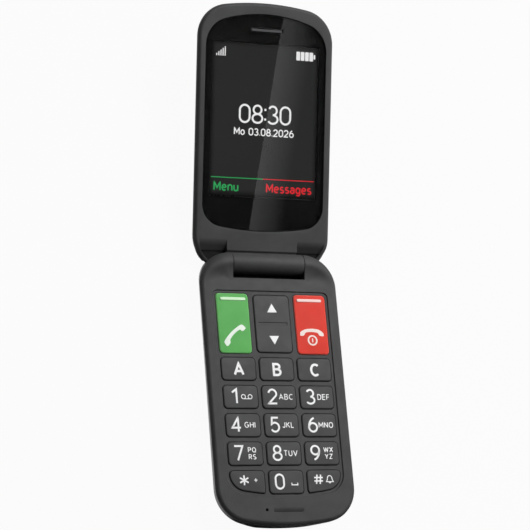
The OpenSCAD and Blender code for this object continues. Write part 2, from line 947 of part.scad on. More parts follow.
module lens_adhesive() {
    color("black")
    on_lid()
        difference() {
            prism(outline(lens_plan, flex_room), seat_z, lens_z);
            block(
                [picture_w + 2 * window_margin, picture_h + 2 * window_margin, beyond],
                [0, picture_y],
                seat_z - bite
            );
            slot_prism(
                [slot_len + 2 * slot_rim, slot_h + 2 * slot_rim],
                [0, slot_y],
                seat_z - bite,
                lens_z + bite
            );
        }
}

module display_module() {
    color([0.17, 0.17, 0.18])
    on_lid() {
        block([module_w, display_l, display_t], [0, display_mid], display_z);
        block(
            [picture_w + 2 * glass_margin, picture_h + 2 * glass_margin, glass_rise + turn_gap],
            [0, picture_y],
            display_top - turn_gap
        );
    }
}

module display_tray() {
    color("lightgray")
    on_lid()
        block([module_w + 2 * tray_rim, display_l + 2 * tray_rim, tray_t], [0, display_mid], tray_z);
}

module lid_board() {
    color("darkgreen")
    on_lid()
        block([lid_board_size[0], lid_board_size[1], lid_board_t], [0, picture_y], lid_board_z);
}

module earpiece() {
    color("silver")
    on_lid()
        block(earpiece_size, [0, slot_y], display_top - earpiece_size[2]);
}

module earpiece_mesh() {
    color("gray")
    on_lid()
        slot_prism(
            [slot_len - 2 * seat_gap, slot_h - 2 * seat_gap],
            [0, slot_y],
            seat_z,
            lens_top - mesh_inset
        );
}

module lid_magnet() {
    color("silver")
    on_lid()
        block(magnet_size, hall_at, lid_inner);
}

module lid_screws() {
    color("gray")
    on_lid() {
        lid_screw_posts(lid_head_r, seat_z - lid_head_h - turn_gap, seat_z - turn_gap);
        lid_screw_posts(screw_r, lid_inner + 2 * bite, seat_z - lid_head_h);
    }
}

module hinge_cartridge() {
    color("silver")
    on_lid()
        difference() {
            along_hinge(cartridge_r, cartridge_x, barrel_w / 2);
            along_hinge(
                cartridge_r - cartridge_wall,
                cartridge_x + cartridge_end,
                barrel_w / 2 - cartridge_end
            );
            along_hinge(shaft_r + turn_gap, cartridge_x - bite, barrel_w / 2 + bite);
        }
}

// One round wire wound between the cartridge's inner end and the shaft's collar.
module hinge_spring() {
    from = cartridge_x + cartridge_end + spring_wire_r + seat_gap;
    to = barrel_w / 2 - cartridge_end - collar_len - spring_wire_r - spring_spare;
    turn_steps = 12;
    wire_sides = 6;
    steps = turn_steps * spring_turns;
    color("gray")
    on_lid()
        rings_solid([for (i = [0 : steps])
            let (turn = 360 * i / turn_steps, x = from + (to - from) * i / steps)
            [for (k = [0 : wire_sides - 1])
                let (a = 360 * k / wire_sides, r = spring_r + spring_wire_r * cos(a))
                [x + spring_wire_r * sin(a), r * cos(turn), r * sin(turn)]]]);
}

module lid_flex() {
    bend_z = display_top - flex_room - flex_t;
    color("orange")
    on_lid() {
        along_hinge(flex_r, -barrel_w / 2, barrel_bore_end - flex_room);
        translate([lid_flex_x - lid_flex_w / 2, lid_flex_y, bend_z])
            cube([lid_flex_w, flex_t, -bend_z]);
        translate([lid_flex_x - lid_flex_w / 2, lid_flex_y, bend_z])
            cube([lid_flex_w, lid_inner_low, flex_t]);
    }
}

// Cap that stands in the front plate's opening, on a flange that stays under the plate.
module key_cap() {
    translate([0, 0, flange_z])
        linear_extrude(front_z - flange_z)
            children(0);
    translate([0, 0, flange_z])
        linear_extrude(flange_t)
            children(1);
}

module key_call() {
    color("forestgreen")
    on_base()
        key_cap() {
            call_key_shape(-1, 0);
            call_key_shape(-1, flange_w);
        }
}

module key_end() {
    color("firebrick")
    on_base()
        key_cap() {
            call_key_shape(1, 0);
            call_key_shape(1, flange_w);
        }
}

// The rocker is held at its middle only, so that its two ends can dip.
module key_rocker() {
    tab = [rocker_w + 2 * flange_w, rocker_tab, flange_t - rocker_room];
    color([0.3, 0.3, 0.3])
    on_base() {
        translate([0, 0, flange_z])
            linear_extrude(front_z - flange_z)
                rocker_shape(0);
        block(tab, [0, call_y], flange_z);
    }
}

module small_key(row, column) {
    color([0.3, 0.3, 0.3])
    on_base()
        key_cap() {
            small_key_shape(row, column, 0);
            small_key_shape(row, column, flange_w);
        }
}

base_front_housing();
base_rear_housing();
battery_cover();
battery();
battery_contacts();
main_board();
dome_switches();
keypad_mat();
microphone();
loudspeaker();
vibration_motor();
usb_socket();
sim_reader();
sim_card();
antenna();
hall_sensor();
base_screws();
hinge_pivot();
hinge_shaft();
base_flex();
lid_front_housing();
lid_rear_housing();
display_lens();
lens_adhesive();
display_module();
display_tray();
lid_board();
earpiece();
earpiece_mesh();
lid_magnet();
lid_screws();
hinge_cartridge();
hinge_spring();
lid_flex();
key_call();
key_end();
key_rocker();
for (row = [0 : last_row])
    for (column = [0 : 2])
        small_key(row, column);
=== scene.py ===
"""Looks of an open flip phone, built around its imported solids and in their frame.

Lengths are millimetres from the hinge axis, in the base's own axes or in the lid's, and turn into metres
when a mesh is made. The lid's axes are tilted up about the hinge, as the phone lies open.
"""

import json
import math

import bpy
import numpy as np
from mathutils import Euler, Matrix, Vector
from mathutils.geometry import delaunay_2d_cdt


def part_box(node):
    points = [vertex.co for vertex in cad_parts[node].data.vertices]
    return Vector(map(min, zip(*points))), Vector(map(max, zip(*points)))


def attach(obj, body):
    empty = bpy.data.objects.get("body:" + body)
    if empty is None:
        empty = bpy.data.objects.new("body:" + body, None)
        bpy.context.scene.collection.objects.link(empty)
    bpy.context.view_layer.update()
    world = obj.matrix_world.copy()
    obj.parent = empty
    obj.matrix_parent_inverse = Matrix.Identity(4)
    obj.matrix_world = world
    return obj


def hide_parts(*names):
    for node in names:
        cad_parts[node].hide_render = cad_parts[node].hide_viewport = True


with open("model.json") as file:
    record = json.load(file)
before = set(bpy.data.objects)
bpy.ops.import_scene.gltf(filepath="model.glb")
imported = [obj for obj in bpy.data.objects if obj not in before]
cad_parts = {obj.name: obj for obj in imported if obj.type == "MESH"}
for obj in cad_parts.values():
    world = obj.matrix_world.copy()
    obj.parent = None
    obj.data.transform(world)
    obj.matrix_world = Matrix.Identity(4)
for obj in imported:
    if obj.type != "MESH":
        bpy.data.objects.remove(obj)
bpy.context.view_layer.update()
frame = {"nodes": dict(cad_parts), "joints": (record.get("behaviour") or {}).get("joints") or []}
scene = bpy.context.scene

MM = 0.001
HINGE_JOINT = next(j for j in frame["joints"] if j["name"] == "lid_hinge")
HINGE = Vector(HINGE_JOINT["pos_m"])
LID_TILT = math.radians(180 - HINGE_JOINT["range_deg"][1])
ON_BASE = Matrix.Translation(HINGE)
ON_LID = ON_BASE @ Matrix.Rotation(LID_TILT, 4, "X")
# Backs are drawn as if seen from behind, so they are turned over about the long axis.
TURN_OVER = Matrix.Rotation(math.pi, 4, "Y")

# Sizes of the base
HALF_W = 28.2
BASE_END = 101.2
FRONT_Z = 2.35
PLATE_Z = 0.65
PARTING_Z = -1.65
BACK_Z = -10.05
WALL = 1.6
END_ARC_R = 108
END_CORNER_R = 13
SHOULDER_R = 13
HINGE_OVER = 3
FLAT_R = 4000
BASE_EDGE_R = 1.5
INNER_TOP = 8.6
# The glossier band round the rim: its width and its upper edge
SIDE_BAND = (1.2, 0.9)
# How far the sides lean in at the parting, at three places along the base
SIDE_DRAW = (0.35, 0.85, 0)
SIDE_DRAW_Y = (-80, -9, -1)
# How far the back's edge is drawn in and how it bends, along the sides and at the lower end
BACK_DRAW = 7.6
BACK_BEND = 1.0
END_DRAW = 1.5
END_BEND = 0.5
END_BLEND = (-86, -97)
END_SPAN = (9, 25)
BACK_STEPS = (0, 0.01, 0.03, 0.07, 0.12, 0.18, 0.25, 0.33, 0.42, 0.52, 0.63, 0.75, 0.87, 1)

# Sizes of the hinge
BARREL_R = 4.1
BARREL_SHIFT = -0.7
BARREL_HALF = 14.7
BARREL_EDGE_R = 0.2
KNUCKLE_END = BARREL_SHIFT + BARREL_R
KNUCKLE_X = 14.85
KNUCKLE_Y = -0.3
SHAFT_R = 1.5
SHAFT_END = 19
COLLAR = (11.6, 13.6)
COLLAR_R = 2.3
SHAFT_BEVEL = 0.3
HEAD_R = 2.6
HEAD_GAP = 0.1
HEAD_BEVEL = 0.5
SLOT_Y = -6.95
SLOT_RIM = 0.05
# The ridge rises round the shoulders between these angles, bends over and fades into the face.
RIDGE_ANGLES = (-4, 72)
RIDGE_BEND = 1.5
RIDGE_FADE = (2.5, 6)
RIDGE_STEPS = [1.9, 2.4, 2.9, 3.4, 4, 4.6, 5.3, 6, 6.8, 7.6, 8.4, 9.4, 10.4, 11.4, 12.4]
# Open, the two backs meet along a plane that halves the angle between them.
STOP_SLOPE = math.tan(LID_TILT / 2)
STOP_REACH = 9
BASE_REAR_TOP = 0.07
LID_REAR_LOW = -0.53

# Sizes of the keypad and the chin
KEYPAD_TOP = -11.9
KEY_MARGIN = 1.1
KEY_GAP = 0.18
FLANGE_W = 0.5
FLANGE_Z = -0.15
FLANGE_T = 0.7
COLUMN_PITCH = 15.6
ROW_PITCH = 10.72
ROW_Y0 = -42.195
KEY_SIZE = (14.06, 8.89)
KEY_CORNER_R = 1.6
KEY_EDGE_R = 0.55
KEY_CROWN = 0.1
KEY_CROWN_REACH = 4
# How far in from a call or end key's edge its faces are painted paler, as a painted highlight
HIGHLIGHT_EDGE_DEPTH = 0.3
CALL_X = 16.02
CALL_Y = -24.65
CALL_SIZE = (13.3, 23.3)
CALL_BAR = (15.8, -15.25, 10.4, 1.25)
CALL_BAR_R = 0.25
CALL_BAR_RISE = 0.2
CALL_BAR_SINK = 0.4
ROCKER_SIZE = (14.8, 22.4)
ROCKER_GROOVE = (0, CALL_Y, 12, 1.15, 0.3)
ROCKER_AXLE = (0, CALL_Y, ROCKER_SIZE[0] + 2 * FLANGE_W, 5, 0.2)
ROCKER_AXLE_T = 0.55
KEYPAD_LOW = -89.72
KEYPAD_ARC_R = 100
KEYPAD_CORNER_R = 6.5
FIELD_HALF_W = 22.67
MIC = (-8.8, -95.4, 1, 1)
CHIN_SLOT = (0, -95.35, 12.3, 1.9)
CHIN_DEPTH = 0.45

# Sizes of the back
BAY_Y = -55.5
COVER_SIZE = (40.8, 62)
COVER_ROOM = (41.0, 62.2)
COVER_CORNER = 4.1
COVER_T = 1.2
COVER_EDGE_R = 0.3
GRIPS = [(0, BAY_Y + COVER_SIZE[1] / 2 - 3 - i * 1.5, 9 - 1.4 * i, 0.7) for i in range(3)]
WELL_R = 1.55
WELLS = [(x, y, 2 * WELL_R, 2 * WELL_R) for x, y in ((15, -10.6), (-15, -10.6), (19, -93.2), (-19, -93.2))]
SPEAKER_Y = -16.6
GRILLE_PITCH = 1.6
GRILLE = [(0, SPEAKER_Y + i * GRILLE_PITCH, 9, 0.8) for i in range(-2, 3)]
PORT_X = 25.6
PORT_Y = -46
PORT_Z = -3.38
PORT_SIZE = (8.94, 3.16)
PORT_DEPTH = 7.2
PORT_WALL = 0.3
PORT_PROUD = 0.05
PORT_BACK_T = 0.4
PORT_CUT = (-HALF_W, PORT_Y, 2 * (HALF_W - PORT_X), 9.5, 0.3)
TONGUE = (6.7, 0.7, 0.3)
TONGUE_BACK = 0.8

# Sizes of the lid
LID_END = 99.7
LID_FRONT = -3.1
LID_PARTING = -5.15
LID_BACK = -10.1
LID_BACK_DRAW = 6
LID_BACK_BEND = 0.85
LID_CROWN = 0.5
LID_CROWN_REACH = 24
LID_EDGE_R = 1.4
LENS_TOP = -3.2
LENS_LOW = -4.2
LENS_SEAT = -4.35
LENS_GAP = 0.1
LENS_EDGE_R = 0.12
SCREEN_Z = -4.4
PICTURE = (0, 54.525, 43.2, 57.6)
WINDOW_MARGIN = 1
WINDOW_CORNER = 0.3
EAR_SLOT = (0, 89.2, 12.9, 1.15)
EAR_LEDGE = 0.5
# Beside the barrel the face rolls off, then slopes straight down behind a rim.
ROLL_START = 8.8
ROLL_R = 4.6
ROLL_ANGLE = math.radians(33)
ROLL_REACH = 5
ROLL_RIM = 1.6
ROLL_RIM_FADE = 0.35
ROLL_RIM_DROP = 1.6
ROLL_RIM_FALL = (ROLL_START - 1, ROLL_START - 8)
CREASE_Y = (1.8, 4.5)
CREASE_EDGE = 0.9
CREASE_DEPTH = 0.6
# Nearer the hinge than this, the floor of the slopes beside the barrel is painted dark grey as painted
# shade
HEEL_Y = 4.3

# Dents: depth, how far outside the outline the edge starts, and how wide the edge is
RECESS_DENT = (0.5, 0.2, 0.36)
MIC_DENT = (1.2, 0.08, 0.16)
COVER_DENT = (COVER_T, 0.1, 0.14)
WELL_DENT = (2.4, 0.14, 0.2)
GRILLE_DENT = (1.3, 0.1, 0.16)
GRIP_DENT = (0.35, 0.2, 0.5)
GROOVE_DENT = (0.22, 0.1, 0.3)
CHIN_EDGE = (0.06, 0.12)
SEAT_EDGE = (0.12, 0.16)

# Mesh values
SAME = 1e-6  # points this close are one point
MERGE = 1e-5  # and so are these in a mesh's plan
SHEER = 0.01  # half the width of the strip that holds a sheer step
THINNEST = 0.01
LEAST_R = 0.01  # of a corner, and what the ends of a pill lack of half its height
NO_RISE = 1e-12  # stands in for a rise of nothing
NUDGE = 0.001  # slopes are measured over this much either way
SHARP = math.radians(32)
NO_GRID = 1000  # a grid step so long that the grid has no points
SIDES = (-1, 1)

# Plans: half width, then the end, arc and corner radius at the upper end and at the lower one
BASE_PLAN = (HALF_W, HINGE_OVER, FLAT_R, SHOULDER_R, -BASE_END, END_ARC_R, END_CORNER_R)
BASE_FRONT_PLAN = (HALF_W, KNUCKLE_END, *BASE_PLAN[2:])
LID_PLAN = (HALF_W, LID_END, END_ARC_R, END_CORNER_R, -HINGE_OVER, FLAT_R, SHOULDER_R)
LENS_PLAN = (25.1, 95.2, 58, 11, 12.05, 110, 8.5)
RECESS_PLAN = (
    FIELD_HALF_W + KEY_MARGIN, KEYPAD_TOP, FLAT_R, 2,
    KEYPAD_LOW - KEY_MARGIN, KEYPAD_ARC_R + KEY_MARGIN, KEYPAD_CORNER_R + KEY_MARGIN,
)

KEY_ROWS = (("a", "b", "c"), ("1", "2", "3"), ("4", "5", "6"), ("7", "8", "9"), ("star", "0", "hash"))
LAST_ROW = len(KEY_ROWS) - 1
ALL_KEYS = ("call", "end", "rocker") + tuple(name for row in KEY_ROWS for name in row)


# Flat shapes


def arc(cx, cy, rx, ry, start, stop, turn=6, chord=1.6):
    """Points along an elliptical arc, no further apart than a turn in degrees or a chord."""
    sweep = abs(stop - start)
    count = max(1, math.ceil(sweep / turn), math.ceil(math.radians(sweep) * max(rx, ry) / chord))
    angles = np.radians(np.linspace(start, stop, count + 1))
    return np.column_stack((cx + rx * np.cos(angles), cy + ry * np.sin(angles)))


def closed(*parts):
    """One loop of points from several runs, without repeated points."""
    points = np.vstack(parts)
    step = np.linalg.norm(points - np.roll(points, 1, axis=0), axis=1)
    return points[step > SAME]


def outline(plan, inset=0.0):
    """Loop with an arc across each end and a round corner at each side, drawn in by inset."""
    half, top, top_r, top_c, low, low_r, low_c = plan
    top_x, low_x = half - top_c, half - low_c
    top_rise = math.sqrt((top_r - top_c) ** 2 - top_x ** 2)
    low_rise = math.sqrt((low_r - low_c) ** 2 - low_x ** 2)
    top_mid, low_mid = top - top_r, low + low_r
    top_a = math.degrees(math.atan2(top_rise, top_x))
    low_a = math.degrees(math.atan2(low_rise, low_x))

    def run(x, y, r, start, stop):
        return arc(x, y, r - inset, r - inset, start, stop)

    return closed(
        run(low_x, low_mid - low_rise, low_c, -low_a, 0),
        run(top_x, top_mid + top_rise, top_c, 0, top_a),
        run(0, top_mid, top_r, top_a, 180 - top_a),
        run(-top_x, top_mid + top_rise, top_c, 180 - top_a, 180),
        run(-low_x, low_mid - low_rise, low_c, 180, 180 + low_a),
        run(0, low_mid, low_r, 180 + low_a, 360 - low_a),
    )


def round_box(x, y, w, h, r, grow=0.0):
    """Loop round a rectangle with round corners, centred at a place and spread by grow."""
    half_w, half_h, r = w / 2 + grow, h / 2 + grow, max(r + grow, LEAST_R)
    return closed(*[
        arc(x + sx * (half_w - r), y + sy * (half_h - r), r, r, start, start + 90, turn=11)
        for sx, sy, start in ((1, 1, 0), (-1, 1, 90), (-1, -1, 180), (1, -1, 270))
    ])


def pill(x, y, w, h, grow=0.0):
    return round_box(x, y, w, h, h / 2 - LEAST_R, grow)


def depth_inside(points, loop, block=4000):
    """How far each point lies inside the loop, negative outside it."""
    start, end = loop, np.roll(loop, -1, axis=0)
    run = end - start
    length2 = (run ** 2).sum(1)
    result = np.empty(len(points))
    for first in range(0, len(points), block):
        part = points[first:first + block, None, :]
        away = part - start
        along = np.clip((away * run).sum(2) / length2, 0, 1)
        near = np.sqrt((((away - along[:, :, None] * run) ** 2).sum(2)).min(1))
        straddles = (start[:, 1] > part[:, :, 1]) != (end[:, 1] > part[:, :, 1])
        rise = np.where(run[:, 1] == 0, NO_RISE, run[:, 1])
        crossing = start[:, 0] + away[:, :, 1] * run[:, 0] / rise
        odd = (straddles & (part[:, :, 0] < crossing)).sum(1) % 2 == 1
        result[first:first + block] = np.where(odd, near, -near)
    return result


def smooth(t):
    t = np.clip(t, 0, 1)
    return t * t * (3 - 2 * t)


def mix(a, b, t):
    return a + (b - a) * t


def between(t, start, stop):
    """Smooth share of the way from a start to a stop."""
    return smooth((t - start) / (stop - start))


def dent(points, loop, deep, start, width):
    """How deep a dent is at each point, with an edge that starts outside the loop and has a width."""
    return deep * smooth((depth_inside(points, loop) + start) / width)


def dents(points, plans, values):
    """How deep a row of like dents is at each point."""
    return sum(dent(points, pill(*plan), *values) for plan in plans)


def round_drop(depth, r):
    """How far a rounded edge of that radius lies below its face, at a depth in from the edge."""
    t = np.clip(depth, 0, r)
    return r - np.sqrt(np.maximum(r * r - (r - t) ** 2, 0))


def edge_steps(r, turn):
    """Depths in from a rounded edge, a turn in degrees apart."""
    return [r * (1 - math.cos(math.radians(a))) for a in range(0, 91, turn)]


# Meshes


def level(z):
    """Height of a flat face."""
    return lambda p: np.full(len(p), z)


def within(*loops):
    """Test for places that lie inside all of the loops."""
    return lambda p: np.all([depth_inside(p, loop) > 0 for loop in loops], axis=0)


def across(y, half=HALF_W):
    """Line from side to side."""
    return [(-half, y), (half, y)]


def rings(shape, plans, spreads):
    """Loops of a shape over each of the plans, each loop with another spread."""
    return [shape(*plan, spread) for plan in plans for spread in spreads]


def grid(low, high, step):
    xs = np.arange(low[0] + step / 2, high[0], step)
    ys = np.arange(low[1] + step / 2, high[1], step)
    return np.array([(x, y) for x in xs for y in ys]).reshape(-1, 2)


def relief(loops, keep, height, floor, step=3.0, lines=(), spread=()):
    """Solid between a height and a floor over a plan, as (points, faces, normals of its upper side).

    The mesh follows the closed loops and open lines, with a grid of points and any spread points between
    them. keep says which places belong to the plan.
    """
    points, edges, count = [], [], 0
    for k, path in enumerate([*loops, *lines]):
        n = len(path)
        points.append(np.array(path, float))
        edges += [(count + i, count + (i + 1) % n) for i in range(n if k < len(loops) else n - 1)]
        count += n
    stacked = np.vstack(points)
    points += [grid(stacked.min(0), stacked.max(0), step), *spread]
    flat = [Vector(p) for p in np.vstack(points)]
    plan, _, tris, _, _, _ = delaunay_2d_cdt(flat, edges, [], 0, MERGE)
    plan, tris = np.array([tuple(p) for p in plan]), np.array(tris)
    tris = tris[keep(plan[tris].mean(1))]
    used = np.unique(tris)
    index = np.full(len(plan), -1)
    index[used] = np.arange(len(used))
    plan, tris = plan[used], index[tris]
    n = len(plan)

    around = np.vstack((tris[:, [0, 1]], tris[:, [1, 2]], tris[:, [2, 0]]))
    code = np.sort(around, axis=1) @ np.array([n, 1])
    _, inverse, counts = np.unique(code, return_inverse=True, return_counts=True)
    rim = around[counts[inverse] == 1]

    top = height(plan)
    slopes = [(height(plan - way) - height(plan + way)) / (2 * NUDGE) for way in ((NUDGE, 0), (0, NUDGE))]
    normals = np.column_stack((*slopes, np.ones(n)))
    normals /= np.linalg.norm(normals, axis=1)[:, None]

    low = np.minimum(floor(plan), top - THINNEST)
    solid = np.vstack((np.column_stack((plan, top)), np.column_stack((plan, low))))
    faces = tris.tolist() + (tris[:, ::-1] + n).tolist()
    faces += [(b, a, a + n, b + n) for a, b in rim.tolist()]
    return solid, faces, normals


def prism(loop, low, high):
    """Closed solid over a loop between two heights."""
    return relief([loop], within(loop), level(high), level(low), NO_GRID)


def lathe(profile, sides=64):
    """Closed solid turned about the hinge axis from a profile of (place along it, radius)."""
    turns = np.radians(np.arange(sides) * 360 / sides)
    points = np.array([(x, r * math.cos(a), r * math.sin(a)) for x, r in profile for a in turns])
    last = len(points) - 1
    faces = [list(range(sides)), list(range(last, last - sides, -1))]
    for start in range(0, last - sides, sides):
        for i in range(sides):
            j = (i + 1) % sides
            faces.append((start + j, start + i, start + sides + i, start + sides + j))
    return points, faces


def on_floor(solid):
    """Which faces of a relief are its floor."""
    flats = sum(len(face) == 3 for face in solid[1])
    order = np.arange(len(solid[1]))
    return (order >= flats // 2) & (order < flats)


def face_middles(solid):
    return np.array([solid[0][list(face)].mean(0) for face in solid[1]])


def add_object(name, data):
    """A new object in the scene."""
    obj = bpy.data.objects.new(name, data)
    scene.collection.objects.link(obj)
    return obj


class Build:
    """Gathers solids into one mesh."""

    def __init__(self, place):
        self.place = place
        self.points, self.faces, self.slots, self.normals = [], [], [], []
        self.count = 0

    def add(self, solid, slot=0):
        """Adds a solid, with one material index for all its faces or one for each."""
        points, faces, *upper = solid
        upper = upper[0] if upper else ()
        for face in faces:
            self.faces.append([i + self.count for i in face])
            known = len(face) == 3 and max(face) < len(upper)
            self.normals += [upper[i] if known else (0, 0, 0) for i in face]
        self.slots += np.broadcast_to(np.asarray(slot, int), len(faces)).tolist()
        self.points.append(points)
        self.count += len(points)
        return self

    def piece(self, name, body, materials, slot, *nodes):
        """Makes the object, riding on a body and standing for some of the solids."""
        mesh = bpy.data.meshes.new(name)
        turn = np.array(self.place.to_3x3())
        placed = np.vstack(self.points) * MM @ turn.T + np.array(self.place.translation)
        mesh.from_pydata(placed.tolist(), [], self.faces)
        mesh.polygons.foreach_set("material_index", self.slots)
        mesh.polygons.foreach_set("use_smooth", [True] * len(self.faces))
        mesh.set_sharp_from_angle(angle=SHARP)
        normals = np.array(self.normals, float) @ turn.T
        mesh.normals_split_custom_set(normals.tolist())
        mesh.validate()
        for material in materials:
            mesh.materials.append(material)
        piece = add_object(name, mesh)
        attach(piece, body)
        if nodes:
            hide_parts(*nodes)


# Materials


def feed(tree, node, inputs):
    """Gives each named input of a node a value, or links it to another node's output."""
    for name, value in inputs.items():
        if isinstance(value, bpy.types.NodeSocket):
            tree.links.new(value, node.inputs[name])
        else:
            node.inputs[name].default_value = value


def add_node(tree, kind, inputs=None, **settings):
    """Outputs of a new node, after its settings are made and its inputs are fed."""
    node = tree.nodes.new("ShaderNode" + kind)
    for name, value in settings.items():
        setattr(node, name, value)
    feed(tree, node, inputs or {})
    return node.outputs


def grey(value):
    return (value, value, value)


def shade(colour, share):
    return tuple(c * share for c in colour)


def place_on(tree, system):
    """The x, y and z of a place in one of the coordinate systems."""
    return add_node(tree, "SeparateXYZ", {0: add_node(tree, "TexCoord")[system]})


def map_range(tree, value, source, target, interpolation="LINEAR"):
    """A value mapped from one range onto another."""
    inputs = {"Value": value}
    for end, start, stop in zip(("Min", "Max"), source, target):
        inputs |= {"From " + end: start, "To " + end: stop}
    return add_node(tree, "MapRange", inputs, interpolation_type=interpolation)["Result"]


def combine(tree, operation, first, second):
    return add_node(tree, "Math", {0: first, 1: second}, operation=operation)[0]


def ramp(tree, factor, *stops):
    """Colour blended between two stops of (position, colour)."""
    node = tree.nodes.new("ShaderNodeValToRGB")
    for element, (position, colour) in zip(node.color_ramp.elements, stops):
        element.position = position
        element.color = (*colour, 1)
    feed(tree, node, {"Fac": factor})
    return node.outputs["Color"]


def noise(tree, scale, detail=3.0):
    """Noise that stays put on the object. Scale is in grains per metre."""
    place = add_node(tree, "TexCoord")["Object"]
    return add_node(tree, "TexNoise", {"Vector": place, "Scale": scale, "Detail": detail})["Fac"]


# Where most noise lies, and where it blends two colours
NOISE_RANGE = (0.3, 0.7)
CLOUD_RANGE = (0.35, 0.65)
# Grains per metre of clouds in a colour, of uneven sheen, of smears on the lens and of the lit screen
CLOUD_GRAIN, SHEEN_GRAIN, SMEAR_GRAIN, SCREEN_GRAIN = 90, 420, 60, 2600
SPARK_HEIGHT = 0.00005


def uneven(tree, scale, middle, stray):
    """A value that strays from its middle with noise, as far either way."""
    return map_range(tree, noise(tree, scale), NOISE_RANGE, (middle - stray, middle + stray))


def clouded(tree, scale, detail, low, high):
    """A colour that noise blends between two."""
    return ramp(tree, noise(tree, scale, detail), *zip(CLOUD_RANGE, (low, high)))


def new_look(name):
    """A new material, its node tree and its shader."""
    material = bpy.data.materials.new(name)
    material.use_nodes = True
    return material, material.node_tree, material.node_tree.nodes["Principled BSDF"]


def moulded(name, colour, roughness, grain=3200, bump=0.06, vary=0.1, specular=0.35):
    """Moulded plastic with a fine spark texture, a soft cloud in its colour and uneven sheen."""
    material, tree, shader = new_look(name)
    raised = {"Strength": bump, "Distance": SPARK_HEIGHT, "Height": noise(tree, grain, detail=2)}
    low, high = shade(colour, 1 - vary), shade(colour, 1 + vary)
    feed(tree, shader, {
        "Base Color": clouded(tree, CLOUD_GRAIN, detail=4, low=low, high=high),
        "Roughness": uneven(tree, SHEEN_GRAIN, roughness, stray=0.05),
        "Specular IOR Level": specular,
        "Normal": add_node(tree, "Bump", raised)["Normal"],
    })
    return material


def metal(name, colour, roughness, grain=900):
    material, tree, shader = new_look(name)
    feed(tree, shader, {
        "Base Color": clouded(tree, grain, detail=3, low=shade(colour, 0.85), high=colour),
        "Roughness": uneven(tree, grain * 2, roughness, stray=0.07),
        "Metallic": 1,
    })
    return material


def lit(name, colour):
    """Surface of the screen that gives its own light."""
    material, tree, shader = new_look(name)
    feed(tree, shader, {
        "Base Color": (*grey(0.004), 1),
        "Roughness": 0.6,
        "Specular IOR Level": 0,
        "Emission Color": clouded(tree, SCREEN_GRAIN, detail=1, low=shade(colour, 0.96), high=colour),
        "Emission Strength": 1,
    })
    return material


EDGE_GLOW = 0.12
PANEL_FADES = (
    ("X", (0.036, 0.088), (EDGE_GLOW, 1)), ("X", (0.912, 0.964), (1, EDGE_GLOW)),
    ("Y", (0.074, 0.12), (EDGE_GLOW, 1)), ("Y", (0.95, 0.993), (1, EDGE_GLOW)),
)


def screen_panel(name, colour):
    """Dark lit panel that fades towards its edges, across its width and along its length."""
    material = lit(name, colour)
    tree = material.node_tree
    place = place_on(tree, "Generated")
    glow = 1
    for axis, source, target in PANEL_FADES:
        glow = combine(tree, "MULTIPLY", glow, map_range(tree, place[axis], source, target, "SMOOTHSTEP"))
    feed(tree, tree.nodes["Principled BSDF"], {"Emission Strength": glow})
    return material


def clear_lens(name):
    material, tree, shader = new_look(name)
    feed(tree, shader, {
        "Base Color": (1, 1, 1, 1),
        "Transmission Weight": 1,
        "IOR": 1.45,
        "Roughness": uneven(tree, SMEAR_GRAIN, middle=0.002, stray=0.002),
    })
    return material


SHELL = (0.049, 0.049, 0.050)
housing = moulded("housing_grey", SHELL, 0.58, specular=0.28)
housing_side = moulded("housing_side", SHELL, 0.22, bump=0.01, specular=0.6)
rear_shell = moulded("rear_grey", (0.045, 0.045, 0.046), 0.38, grain=2200, specular=0.5)
key_grey = moulded("key_grey", (0.051, 0.051, 0.052), 0.52, bump=0.03, specular=0.25)
key_green = moulded("key_green", (0.096, 0.433, 0.089), 0.45, bump=0.02, vary=0.05, specular=0.2)
key_red = moulded("key_red", (0.755, 0.031, 0.012), 0.45, bump=0.02, vary=0.05, specular=0.17)
print_green = moulded("print_green", (0.9, 0.99, 0.88), 0.55, bump=0.02, vary=0.02)
print_red = moulded("print_red", (0.98, 0.82, 0.76), 0.55, bump=0.02, vary=0.02)
print_white = moulded("print_white", grey(0.99), 0.55, bump=0.02, vary=0.02)
pale_green = moulded("pale_green", (0.62, 0.9, 0.58), 0.35, bump=0.02, vary=0.03)
pale_red = moulded("pale_red", (0.95, 0.66, 0.62), 0.35, bump=0.02, vary=0.03)
# Paler green and red painted on the rounded edges of the call and end keys, as a painted highlight
green_painted_highlight = moulded("green_painted_highlight", (0.25, 0.6, 0.23), 0.4, bump=0.02, vary=0.05)
red_painted_highlight = moulded("red_painted_highlight", (0.85, 0.16, 0.13), 0.4, bump=0.02, vary=0.05)
lens_clear = clear_lens("lens_clear")
# Near black painted on the inside of the base's rear shell, as painted shade in the gap under the barrel
inside_painted_shade = moulded("inside_painted_shade", grey(0.004), 0.8, specular=0.1)
# Dark grey painted on the floor of the lid's slopes beside the barrel, as painted shade
recess_painted_shade = moulded("recess_painted_shade", grey(0.011), 0.7, specular=0.12)
mask_black = moulded("mask_black", grey(0.002), 0.6, bump=0.02, specular=0.1)
panel = screen_panel("screen_panel", (0.0215, 0.0222, 0.0215))
glow_white = lit("screen_white", grey(0.86))
glow_green = lit("screen_green", (0.03, 0.36, 0.10))
glow_red = lit("screen_red", (0.70, 0.022, 0.03))
steel = metal("steel", (0.55, 0.55, 0.56), 0.32)
dark_mesh = metal("mesh", (0.075, 0.075, 0.078), 0.6, grain=5000)
brass = metal("contact_brass", (0.75, 0.56, 0.25), 0.3)
cell_wrap = moulded("cell_wrap", (0.35, 0.36, 0.38), 0.45)
board_green = moulded("board_green", (0.02, 0.12, 0.045), 0.4)
flex_film = moulded("flex_film", (0.45, 0.2, 0.04), 0.35)
mat_rubber = moulded("mat_rubber", grey(0.07), 0.7)
black_part = moulded("black_part", grey(0.02), 0.5)
card_white = moulded("card_white", (0.7, 0.7, 0.67), 0.5)
carrier = moulded("carrier", (0.4, 0.22, 0.1), 0.5)

